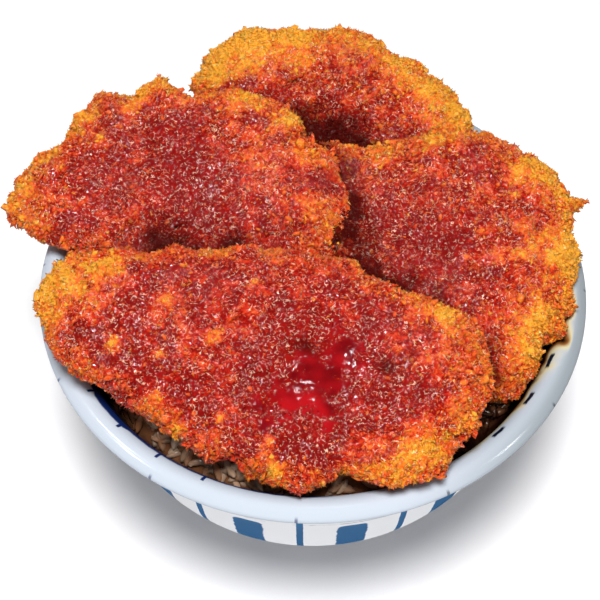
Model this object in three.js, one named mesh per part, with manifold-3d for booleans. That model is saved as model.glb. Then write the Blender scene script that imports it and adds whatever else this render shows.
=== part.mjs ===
// A donburi bowl of rice with four sauced panko cutlets heaped on it, in millimetres, +Z up.
// The bowl's foot stands on z = 0, and the origin is under the middle of the whole heap.
import * as THREE from "three";
import { mergeVertices } from "three/addons/utils/BufferGeometryUtils.js";
import Module from "manifold-3d";

const wasm = await Module();
wasm.setup();

// Driving dimensions of the bowl
const RIM_HEIGHT = 80;
const RIM_RADIUS = 78;
const LIP_WIDTH = 8;
const WALL = 4.5;
const FOOT_RADIUS = 32;
const FOOT_WIDTH = 4;
const FOOT_HEIGHT = 8;
const FOOT_RECESS = 5;
const FLOOR_HEIGHT = 10;
const BOWL_FACETS = 48;
const LIP_STEPS = 3;
const OUTER_STEPS = 8;
const INNER_STEPS = 6;

// Driving dimensions of the rice and of the cutlets
const GAP = 0.3;
const RICE_FACETS = BOWL_FACETS / 2;
const RICE_RADIUS = 67;
const RICE_WALL_HEIGHT = 71;
const RICE_TOP_HEIGHT = 87;
const HEAP = { x: 2, y: 44, spread: 26 };
const HEAP_RISE = 9;
const MOUND_STEPS = 5;
const GRAIN_LENGTH = 6.2;
const GRAIN_WIDTH = 2.7;
const GRAIN_BAND = 59;
const GRAIN_TRIES = 116;
const SEEN_UNDER_EDGE = 9;
const CUTLET_THICKNESS = 12;
const COVER_DETAIL = 4;
const COVER_MARGIN = 2.6;
const EDGE_SQUARENESS = 5;
const CRAG_DEPTH = 1.3;
const RAGGED_EDGE = 1.5;
const GOLDEN_ANGLE = Math.PI * (3 - Math.sqrt(5));

// Each cutlet, from the top of the heap down: where its middle lies, how it is turned and tilted in degrees,
// and the reach of its outline at twenty equal bearings from its own long axis. A swell lifts or sinks the
// slice around one point, and sauce smooths the crust around the pool.
const CUTLETS = [
  {
    name: "cutlet_front",
    middle: [-13, -38, 91],
    heading: -8,
    lean: 14,
    roll: 2,
    reach: [60, 58, 45, 39, 36, 34, 36, 38, 48, 63, 61, 42, 32, 29, 28, 30, 33, 37, 50, 57],
    swells: [
      { x: 14, y: -2, rise: -2.6, spread: 14 },
      { x: -36, y: 8, rise: 1.6, spread: 20 },
      { x: 46, y: 6, rise: 1.4, spread: 14 },
      { x: 38, y: -22, rise: 1.2, spread: 12 },
    ],
    pool: { x: 15, y: -2, spread: 13 },
    detail: 9,
    flakes: 14,
    seed: 11,
  },
  {
    name: "cutlet_left",
    middle: [-38, 25.5, 93],
    heading: -4,
    lean: 11,
    roll: 2,
    reach: [47, 41, 38, 35, 31, 29, 34, 33, 37, 36, 46, 53, 43, 37, 37, 37, 37, 40, 46, 49],
    swells: [
      { x: 2, y: -14, rise: -2.2, spread: 14 },
      { x: 28, y: 8, rise: 2, spread: 16 },
      { x: -14, y: 16, rise: 1.4, spread: 12 },
    ],
    pool: { x: 6, y: -6, spread: 8 },
    detail: 8,
    flakes: 11,
    seed: 23,
  },
  {
    name: "cutlet_right",
    middle: [36, 3, 90],
    heading: -45,
    lean: 12,
    roll: -8,
    reach: [43, 39, 40, 41, 42, 43, 41, 39, 37, 38, 50, 44, 35, 31, 30, 30, 32, 36, 46, 49],
    swells: [
      { x: -10, y: -8, rise: -1.8, spread: 16 },
      { x: 10, y: 22, rise: 1.6, spread: 16 },
      { x: 33, y: -14, rise: -2, spread: 6 },
      { x: 38, y: -3, rise: 1.4, spread: 8 },
      { x: -46, y: 2, rise: -9, spread: 18 },
      { x: -28, y: -12, rise: -4, spread: 15 },
    ],
    pool: { x: -14, y: -6, spread: 8 },
    detail: 8,
    flakes: 11,
    seed: 53,
  },
  {
    name: "cutlet_back",
    middle: [6, 49, 90],
    heading: 0,
    lean: 24,
    roll: 0,
    reach: [42, 38, 34, 31, 31, 31, 32, 37, 43, 44, 42, 38, 34, 31, 29, 28, 29, 31, 34, 38],
    swells: [
      { x: 0, y: -8, rise: -3, spread: 14 },
      { x: -18, y: 14, rise: 1.4, spread: 14 },
    ],
    pool: { x: 0, y: -8, spread: 8 },
    detail: 7,
    flakes: 9,
    seed: 37,
  },
];

/** A repeatable source of numbers from 0 to 1. */
function seededRandom(seed) {
  let state = seed >>> 0;
  return () => {
    state = (state + 0x6d2b79f5) >>> 0;
    let t = state;
    t = Math.imul(t ^ (t >>> 15), t | 1);
    t ^= t + Math.imul(t ^ (t >>> 7), t | 61);
    return ((t ^ (t >>> 14)) >>> 0) / 4294967296;
  };
}

/** A smooth bumpy field from -1 to 1, worked out from a lattice of hashed corner values. */
function bumpyField(seed) {
  const corner = (i, j, k) => {
    const wave = Math.sin(i * 127.1 + j * 311.7 + k * 74.7 + seed * 53.3) * 43758.5453;
    return 2 * (wave - Math.floor(wave)) - 1;
  };
  const ease = (t) => t * t * (3 - 2 * t);
  return (x, y, z) => {
    const [i, j, k] = [Math.floor(x), Math.floor(y), Math.floor(z)];
    const [u, v, w] = [ease(x - i), ease(y - j), ease(z - k)];
    const along = (dj, dk) =>
      THREE.MathUtils.lerp(corner(i, j + dj, k + dk), corner(i + 1, j + dj, k + dk), u);
    const near = THREE.MathUtils.lerp(along(0, 0), along(1, 0), v);
    const far = THREE.MathUtils.lerp(along(0, 1), along(1, 1), v);
    return THREE.MathUtils.lerp(near, far, w);
  };
}

/** A closed geometry as a manifold solid. */
function solidOf(geometry) {
  const bare = new THREE.BufferGeometry();
  bare.setAttribute("position", geometry.getAttribute("position"));
  if (geometry.index) bare.setIndex(geometry.index);
  const merged = mergeVertices(bare, 1e-4);
  return new wasm.Manifold(
    new wasm.Mesh({
      numProp: 3,
      vertProperties: new Float32Array(merged.attributes.position.array),
      triVerts: new Uint32Array(merged.index.array),
    }),
  );
}

/** A manifold solid as a geometry for a mesh. */
function geometryOf(solid) {
  const mesh = solid.getMesh();
  const corners = new Float32Array(mesh.numVert * 3);
  for (let i = 0; i < mesh.numVert; i++) {
    const start = i * mesh.numProp;
    corners.set(mesh.vertProperties.subarray(start, start + 3), i * 3);
  }
  const geometry = new THREE.BufferGeometry();
  geometry.setAttribute("position", new THREE.BufferAttribute(corners, 3));
  geometry.setIndex(new THREE.BufferAttribute(new Uint32Array(mesh.triVerts), 1));
  geometry.computeVertexNormals();
  return geometry;
}

/** The largest connected piece of a solid, without loose scraps. */
function largestPiece(solid) {
  return solid.decompose().reduce((best, piece) => (piece.volume() > best.volume() ? piece : best));
}

/** The profile of the bowl's inside, from the crest of its lip down to the middle of its floor. */
function insideProfile() {
  const throat = RIM_RADIUS - LIP_WIDTH - 1.5;
  const lip = new THREE.Path();
  lip.moveTo(RIM_RADIUS - LIP_WIDTH / 2, RIM_HEIGHT);
  lip.quadraticCurveTo(throat + 1.5, RIM_HEIGHT - 0.6, throat, RIM_HEIGHT - 6);
  const wall = new THREE.Path();
  wall.moveTo(throat, RIM_HEIGHT - 6);
  wall.bezierCurveTo(throat - 1.5, 45, throat - 14, FLOOR_HEIGHT + 6, FOOT_RADIUS - 2, FLOOR_HEIGHT + 1);
  const floor = new THREE.Vector2(0, FLOOR_HEIGHT);
  return [...lip.getPoints(LIP_STEPS), ...wall.getPoints(INNER_STEPS).slice(1), floor];
}

/** The profile of the bowl's outside, from the middle of its foot recess up to the crest of its lip. */
function outsideProfile() {
  const neck = RIM_RADIUS - LIP_WIDTH + WALL - 1;
  const foot = new THREE.Path();
  foot.moveTo(0, FOOT_RECESS);
  foot.lineTo(FOOT_RADIUS - FOOT_WIDTH - 1, FOOT_RECESS);
  foot.lineTo(FOOT_RADIUS - FOOT_WIDTH, 0);
  foot.lineTo(FOOT_RADIUS - 0.8, 0);
  foot.lineTo(FOOT_RADIUS, 0.8);
  foot.lineTo(FOOT_RADIUS + 1, FOOT_HEIGHT);
  const wall = new THREE.Path();
  wall.moveTo(FOOT_RADIUS + 1, FOOT_HEIGHT);
  wall.bezierCurveTo(neck - 16, FOOT_HEIGHT + 4, neck - 3, 44, neck, RIM_HEIGHT - 7);
  const lip = new THREE.Path();
  lip.moveTo(neck, RIM_HEIGHT - 7);
  lip.quadraticCurveTo(neck + 0.5, RIM_HEIGHT - 4.6, RIM_RADIUS - 0.8, RIM_HEIGHT - 3.4);
  lip.quadraticCurveTo(RIM_RADIUS + 0.8, RIM_HEIGHT - 2, RIM_RADIUS - 1.2, RIM_HEIGHT - 0.9);
  return [
    ...foot.getPoints(1),
    ...wall.getPoints(OUTER_STEPS).slice(1),
    ...lip.getPoints(LIP_STEPS - 1).slice(1),
  ];
}

/** The bowl: a lathed wall with a rounded, everted lip on a foot ring. */
function bowlGeometry() {
  const profile = [...outsideProfile(), ...insideProfile()];
  return new THREE.LatheGeometry(profile, BOWL_FACETS).rotateX(Math.PI / 2);
}

/** The reach of a cutlet's outline at a bearing, by a smooth closed curve through its listed reaches. */
function reachAt(reach, bearing) {
  const count = reach.length;
  const place = ((bearing / (2 * Math.PI)) * count + 4 * count) % count;
  const i = Math.floor(place);
  const t = place - i;
  const [a, b, c, d] = [-1, 0, 1, 2].map((step) => reach[(i + step + count) % count]);
  return b + 0.5 * t * (c - a + t * (2 * a - 5 * b + 4 * c - d + t * (3 * (b - c) + d - a)));
}

/** The share, from 0 to 1, that a smooth bump around a place reaches at a point of the plan. */
function bump(place, x, y) {
  const distance = Math.hypot(x - place.x, y - place.y) / place.spread;
  return Math.exp(-distance * distance);
}

/** A point on a cutlet's crust, in its own frame, for a direction from its middle. */
function crustPoint(cutlet, field, direction, grow, cragDepth) {
  const bearing = Math.atan2(direction.y, direction.x);
  const steepness = Math.acos(Math.min(1, Math.abs(direction.z)));
  const share = 0.6 * (steepness / (Math.PI / 2)) + 0.4 * Math.sin(steepness);
  const ragged = RAGGED_EDGE * field(3 * Math.cos(bearing), 3 * Math.sin(bearing), 9.5);
  const reach = reachAt(cutlet.reach, bearing) + ragged;
  const [x, y] = [reach * share * Math.cos(bearing), reach * share * Math.sin(bearing)];
  const lift = cutlet.swells.reduce((sum, swell) => sum + swell.rise * bump(swell, x, y), 0);
  const side = Math.sign(direction.z) * Math.sqrt(Math.max(0, 1 - share ** EDGE_SQUARENESS));
  const spread = 1 + grow / reach;
  const point = new THREE.Vector3(x * spread, y * spread, lift + side * (CUTLET_THICKNESS / 2 + grow));
  const crags = field(x * 0.16, y * 0.16, side + 3) + field(x * 0.6 + 40, y * 0.6, side * 4);
  const dry = 1 - bump(cutlet.pool, x, y);
  const out = new THREE.Vector3(direction.x * share ** 6, direction.y * share ** 6, direction.z);
  return point.addScaledVector(out.normalize(), cragDepth * dry * crags);
}

/** The placing of a cutlet on the heap. */
function placing(cutlet) {
  const { degToRad } = THREE.MathUtils;
  const turn = new THREE.Matrix4().makeRotationZ(degToRad(cutlet.heading));
  const roll = new THREE.Matrix4().makeRotationY(degToRad(-cutlet.roll));
  const lean = new THREE.Matrix4().makeRotationX(degToRad(cutlet.lean));
  const shift = new THREE.Matrix4().makeTranslation(...cutlet.middle);
  return shift.multiply(lean).multiply(roll).multiply(turn);
}

/** A cutlet's body: a sphere of even facets drawn out to the slice's outline and roughened with crags. */
function cutletBody(cutlet, grow, detail, cragDepth) {
  const field = bumpyField(cutlet.seed);
  const geometry = new THREE.IcosahedronGeometry(1, detail);
  const position = geometry.getAttribute("position");
  for (let i = 0; i < position.count; i++) {
    const direction = new THREE.Vector3().fromBufferAttribute(position, i).normalize();
    const point = crustPoint(cutlet, field, direction, grow, cragDepth);
    position.setXYZ(i, point.x, point.y, point.z);
  }
  return geometry.applyMatrix4(placing(cutlet));
}

/** One angular flake of crust, stuck on a cutlet where the golden-angle rule puts it. */
function crustFlake(cutlet, index, random, grow) {
  const height = 1 - (0.85 * (index + 0.5)) / cutlet.flakes;
  const round = Math.sqrt(1 - height * height);
  const bearing = index * GOLDEN_ANGLE;
  const direction = new THREE.Vector3(round * Math.cos(bearing), round * Math.sin(bearing), height);
  const point = crustPoint(cutlet, bumpyField(cutlet.seed), direction, 0, CRAG_DEPTH);
  const length = 2.4 + 2.2 * random();
  const flake = new THREE.OctahedronGeometry(1);
  flake.scale(length + 2 * grow, length * 0.6 + 2 * grow, length * 0.36 + 2 * grow);
  const tilt = new THREE.Euler(0.9 * (random() - 0.5), 0.9 * (random() - 0.5), 2 * Math.PI * random());
  flake.applyMatrix4(new THREE.Matrix4().makeRotationFromEuler(tilt));
  flake.translate(point.x, point.y, point.z + 0.1 * length);
  return flake.applyMatrix4(placing(cutlet));
}

/** A whole cutlet as one solid, its body with the flakes fused on, grown by a margin all round. */
function cutletSolid(cutlet, grow) {
  const random = seededRandom(cutlet.seed);
  const pieces = [solidOf(cutletBody(cutlet, grow, cutlet.detail, CRAG_DEPTH))];
  for (let i = 0; i < cutlet.flakes; i++) pieces.push(solidOf(crustFlake(cutlet, i, random, grow)));
  return wasm.Manifold.union(pieces);
}

/** A plain cover a little larger than a cutlet, which beds it in the rice. */
function cutletCover(cutlet) {
  return solidOf(cutletBody(cutlet, COVER_MARGIN, COVER_DETAIL, 0));
}

/** The height of the bare mound of rice, which is heaped highest under the back cutlet. */
function moundHeight(x, y) {
  const share = Math.min(1, Math.hypot(x, y) / RICE_RADIUS);
  const fall = Math.cos((share * Math.PI) / 2) ** 0.8;
  return RICE_WALL_HEIGHT + fall * (RICE_TOP_HEIGHT - RICE_WALL_HEIGHT + HEAP_RISE * bump(HEAP, x, y));
}

/** The bare mound of rice, a lathed fill that follows the bowl's inner wall. */
function riceMound() {
  const wall = insideProfile()
    .filter((point) => point.y < RICE_WALL_HEIGHT - 4)
    .map((point) => new THREE.Vector2(Math.max(0, point.x - GAP), point.y + GAP))
    .reverse();
  const top = [];
  for (let i = MOUND_STEPS; i >= 0; i--) {
    top.push(new THREE.Vector2((RICE_RADIUS * i) / MOUND_STEPS, RICE_WALL_HEIGHT));
  }
  const mound = new THREE.LatheGeometry([...wall, ...top], RICE_FACETS).rotateX(Math.PI / 2);
  const position = mound.getAttribute("position");
  for (let i = 0; i < position.count; i++) {
    if (position.getZ(i) < RICE_WALL_HEIGHT - 1) continue;
    position.setZ(i, moundHeight(position.getX(i), position.getY(i)));
  }
  return mound;
}

/** True for a place on the mound that a cutlet hides, also from someone who looks in under its edge. */
function hiddenUnderCutlet(place) {
  const outward = 1 + SEEN_UNDER_EDGE / Math.hypot(place.x, place.y);
  return CUTLETS.some((cutlet) => {
    const [x, y] = [place.x * outward - cutlet.middle[0], place.y * outward - cutlet.middle[1]];
    const bearing = Math.atan2(y, x) - THREE.MathUtils.degToRad(cutlet.heading);
    return Math.hypot(x, y) < reachAt(cutlet.reach, bearing);
  });
}

/** One grain of rice, laid on the mound's outer band by the golden-angle rule, beside the wall along it. */
function riceGrain(index, random) {
  const shore = RICE_RADIUS - 0.8 * GRAIN_WIDTH;
  const distance = Math.sqrt(THREE.MathUtils.lerp(GRAIN_BAND ** 2, shore ** 2, (index + 0.5) / GRAIN_TRIES));
  const bearing = index * GOLDEN_ANGLE;
  const [x, y] = [distance * Math.cos(bearing), distance * Math.sin(bearing)];
  const turn = distance > RICE_RADIUS - GRAIN_LENGTH ? bearing : 2 * Math.PI * random();
  const grain = new THREE.SphereGeometry(1, 5, 4);
  grain.scale(GRAIN_WIDTH / 2, GRAIN_LENGTH / 2, GRAIN_WIDTH / 2);
  grain.rotateX(0.6 * (random() - 0.5));
  grain.rotateZ(turn);
  return grain.translate(x, y, moundHeight(x, y) + 0.5);
}

/** The mound of rice as one solid: the grains that show are fused on, then the cutlets are let into it. */
function riceSolid(bowl, covers) {
  const random = seededRandom(5);
  const pieces = [solidOf(riceMound())];
  for (let i = 0; i < GRAIN_TRIES; i++) {
    const grain = riceGrain(i, random);
    grain.computeBoundingSphere();
    const solid = solidOf(grain);
    if (hiddenUnderCutlet(grain.boundingSphere.center)) continue;
    if (solid.intersect(bowl).volume() > 0) continue;
    pieces.push(solid);
  }
  return largestPiece(wasm.Manifold.union(pieces).subtract(wasm.Manifold.union(covers)));
}

/** A named mesh with its own material. */
function namedMesh(name, geometry, colour, roughness) {
  const material = new THREE.MeshStandardMaterial({ color: colour, roughness, metalness: 0 });
  const mesh = new THREE.Mesh(geometry, material);
  mesh.name = name;
  return mesh;
}

const heap = new THREE.Group();
const bowl = bowlGeometry();
heap.add(namedMesh("bowl", bowl, 0xdfe6ee, 0.2));

const covers = CUTLETS.map(cutletCover);
heap.add(namedMesh("rice", geometryOf(riceSolid(solidOf(bowl), covers)), 0x9a7448, 0.4));

// The cutlets from the top of the heap down, each cut clear of those that lie over it.
const over = [];
for (const cutlet of CUTLETS) {
  const solid = over.reduce((rest, cover) => rest.subtract(cover), cutletSolid(cutlet, 0));
  heap.add(namedMesh(cutlet.name, geometryOf(largestPiece(solid)), 0xb0461f, 0.35));
  over.push(cutletSolid(cutlet, GAP));
}

const bounds = new THREE.Box3().setFromObject(heap);
const middle = bounds.getCenter(new THREE.Vector3());
heap.position.set(-middle.x, -middle.y, 0);

const model = new THREE.Group();
model.add(heap);
model.updateMatrixWorld(true);

export default model;
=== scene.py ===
"""The looks of a bowl of tare katsudon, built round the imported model, in metres.

A striped porcelain bowl holds rice stained with tare, and four panko cutlets soaked in the same sauce lie
over each other on it.
"""

import logging
import math
from dataclasses import dataclass
from enum import Enum
from typing import Mapping, NamedTuple, Sequence

import bmesh
import bpy
import numpy as np
from mathutils import Matrix, Vector, noise
from mathutils.bvhtree import BVHTree


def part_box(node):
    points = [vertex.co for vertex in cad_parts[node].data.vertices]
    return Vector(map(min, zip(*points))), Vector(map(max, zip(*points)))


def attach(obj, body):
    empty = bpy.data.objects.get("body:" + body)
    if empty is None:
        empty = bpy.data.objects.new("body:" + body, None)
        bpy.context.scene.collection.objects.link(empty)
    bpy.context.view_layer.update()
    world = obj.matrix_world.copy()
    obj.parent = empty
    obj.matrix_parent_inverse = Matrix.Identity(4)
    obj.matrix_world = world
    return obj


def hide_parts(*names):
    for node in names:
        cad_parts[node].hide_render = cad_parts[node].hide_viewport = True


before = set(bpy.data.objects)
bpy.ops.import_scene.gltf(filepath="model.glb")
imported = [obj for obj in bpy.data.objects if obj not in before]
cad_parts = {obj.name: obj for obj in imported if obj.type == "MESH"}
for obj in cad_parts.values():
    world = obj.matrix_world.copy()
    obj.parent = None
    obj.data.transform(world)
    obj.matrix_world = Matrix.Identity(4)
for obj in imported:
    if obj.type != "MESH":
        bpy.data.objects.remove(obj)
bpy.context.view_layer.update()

MM = 0.001
BODY = "root"
log = logging.getLogger("katsudon")

Colour = tuple[float, float, float, float]
Stop = tuple[float, Colour]
# The points and the triangles of a small shape
Shape = tuple[np.ndarray, np.ndarray]


def paint(red: int, green: int, blue: int) -> Colour:
    """A colour as the shaders take it.

    Args:
        red: Red as the eye sees it, from 0 to 255.
        green: Green, the same way.
        blue: Blue, the same way.

    Returns:
        The linear colour, with an alpha of 1.
    """
    linear = [((c / 255 + 0.055) / 1.055) ** 2.4 if c > 10 else c / 255 / 12.92 for c in (red, green, blue)]
    return (*linear, 1.0)


def bowl_axis() -> Vector:
    """The point of the floor under the middle of the bowl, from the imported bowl's box."""
    low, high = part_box("bowl")
    return Vector(((low.x + high.x) / 2, (low.y + high.y) / 2, 0.0))


# Shader graphs


class Signal:
    """A value on its way through a shader graph, whose sums and methods add the nodes for them."""

    def __init__(self, graph: "Graph", socket: bpy.types.NodeSocket) -> None:
        """Keeps the graph and the output socket that carries the value."""
        self.graph = graph
        self.socket = socket

    def math(self, operation: str, other: "Signal | float" = 0.0) -> "Signal":
        """One step of arithmetic on this and another value."""
        return self.graph.math(operation, self, other)

    def __add__(self, other: "Signal | float") -> "Signal":
        """The sum of the two."""
        return self.math("ADD", other)

    __radd__ = __add__

    def __sub__(self, other: "Signal | float") -> "Signal":
        """This less the other."""
        return self.math("SUBTRACT", other)

    def __rsub__(self, other: float) -> "Signal":
        """The number less this."""
        return self.graph.math("SUBTRACT", other, self)

    def __mul__(self, other: "Signal | float") -> "Signal":
        """The product of the two."""
        return self.math("MULTIPLY", other)

    __rmul__ = __mul__

    def __truediv__(self, other: "Signal | float") -> "Signal":
        """This over the other."""
        return self.math("DIVIDE", other)

    def apart(self, middle: float) -> "Signal":
        """How far this is from a middle value."""
        return (self - middle).math("ABSOLUTE")

    def most(self, other: "Signal | float") -> "Signal":
        """The larger of this and the other."""
        return self.math("MAXIMUM", other)

    def step(self, low: float, high: float) -> "Signal":
        """A smooth rise from 0 to 1.

        Args:
            low: The value at which it starts.
            high: The value at which it reaches 1.

        Returns:
            The rise.
        """
        settings = {"interpolation_type": "SMOOTHSTEP", "clamp": True}
        sockets = {"Value": self, "From Min": low, "From Max": high, "To Min": 0.0, "To Max": 1.0}
        return self.graph.signal("ShaderNodeMapRange", settings, sockets)

    def fall(self, low: float, high: float) -> "Signal":
        """A smooth fall from 1 to 0 while this goes from low to high."""
        return 1.0 - self.step(low, high)

    def noise(self, grain: float, detail: float = 2.0, roughness: float = 0.5) -> "Signal":
        """Cloudy noise round 0.5 at this place, whose lumps are one grain (in millimetres) wide."""
        sockets = {"Vector": self, "Scale": 1 / (grain * MM), "Detail": detail, "Roughness": roughness}
        return self.graph.signal("ShaderNodeTexNoise", None, sockets, "Fac")

    def ramp(self, *stops: Stop) -> "Signal":
        """The colour that a ramp gives to this."""
        return self.graph.signal("ShaderNodeValToRGB", {"stops": stops}, {0: self})

    def mix(self, first: "Signal | Colour", second: "Signal | Colour") -> "Signal":
        """Two colours mixed by this, from all of the first at 0 to all of the second at 1."""
        settings = {"data_type": "RGBA", "clamp_factor": True}
        return self.graph.signal("ShaderNodeMix", settings, {0: self, 6: first, 7: second}, 2)

    def bump(self, depth: float) -> "Signal":
        """The normal of a surface that this raises, where 1 is a depth in millimetres."""
        return self.graph.signal("ShaderNodeBump", None, {"Height": self, "Distance": depth * MM})


class Graph:
    """The node graph of one material."""

    def __init__(self, name: str) -> None:
        """Makes the material with an empty graph.

        Args:
            name: The material's name.
        """
        self.material = bpy.data.materials.new(name)
        self.material.use_nodes = True
        self.tree = self.material.node_tree
        self.tree.nodes.clear()

    def node(
        self,
        kind: str,
        settings: Mapping[str, object] | None = None,
        sockets: Mapping[str | int, object] | None = None,
    ) -> bpy.types.Node:
        """Adds one node.

        Args:
            kind: The node's type, as Blender names it.
            settings: Its own settings, set first; "stops" holds a ramp's places and colours.
            sockets: A value or a Signal for each input named.

        Returns:
            The node.
        """
        node = self.tree.nodes.new(kind)
        for name, value in (settings or {}).items():
            if name == "stops":
                self._set_stops(node.color_ramp, value)
            else:
                setattr(node, name, value)
        for key, value in (sockets or {}).items():
            if isinstance(value, Signal):
                self.tree.links.new(value.socket, node.inputs[key])
            else:
                node.inputs[key].default_value = value
        return node

    @staticmethod
    def _set_stops(ramp: bpy.types.ColorRamp, stops: Sequence[Stop]) -> None:
        """Gives a colour ramp its stops.

        Args:
            ramp: The ramp, which has two stops of its own.
            stops: The place and the colour of each stop, in order.
        """
        while len(ramp.elements) < len(stops):
            ramp.elements.new(1.0)
        for element, (place, colour) in zip(ramp.elements, stops):
            element.position = place
            element.color = colour

    def signal(
        self,
        kind: str,
        settings: Mapping[str, object] | None = None,
        sockets: Mapping[str | int, object] | None = None,
        output: str | int = 0,
    ) -> Signal:
        """Adds one node for the sake of one of its outputs.

        Args:
            kind: The node's type, as Blender names it.
            settings: Its own settings.
            sockets: A value or a Signal for each input named.
            output: The output's name or its number.

        Returns:
            What comes out there.
        """
        return Signal(self, self.node(kind, settings, sockets).outputs[output])

    def math(self, operation: str, first: Signal | float, second: Signal | float) -> Signal:
        """One step of arithmetic on two values."""
        return self.signal("ShaderNodeMath", {"operation": operation}, {0: first, 1: second})

    def attribute(self, name: str) -> Signal:
        """A value that the mesh carries on its points."""
        settings = {"attribute_type": "GEOMETRY", "attribute_name": name}
        return self.signal("ShaderNodeAttribute", settings, None, "Fac")

    def point(self, centre: Vector | None = None) -> Signal:
        """The place on the piece.

        Args:
            centre: The point that it is measured from, or None for the origin.

        Returns:
            The place, in metres.
        """
        place = self.signal("ShaderNodeTexCoord", output="Object")
        if centre is None:
            return place
        return self.signal("ShaderNodeMapping", None, {"Vector": place, "Location": -centre})

    def finish(self, sockets: Mapping[str | int, object], matt: Signal | None = None) -> bpy.types.Material:
        """Closes the graph with a Principled shader.

        Args:
            sockets: Its sockets.
            matt: Where the surface mirrors nothing, from 0 to 1.

        Returns:
            The material.
        """
        surface = self.signal("ShaderNodeBsdfPrincipled", None, sockets)
        if matt is not None:
            dull = self.signal("ShaderNodeBsdfPrincipled", None, {**sockets, "Specular IOR Level": 0.0})
            surface = self.signal("ShaderNodeMixShader", None, {0: matt, 1: surface, 2: dull})
        self.node("ShaderNodeOutputMaterial", None, {"Surface": surface})
        return self.material


# Finishes


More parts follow.
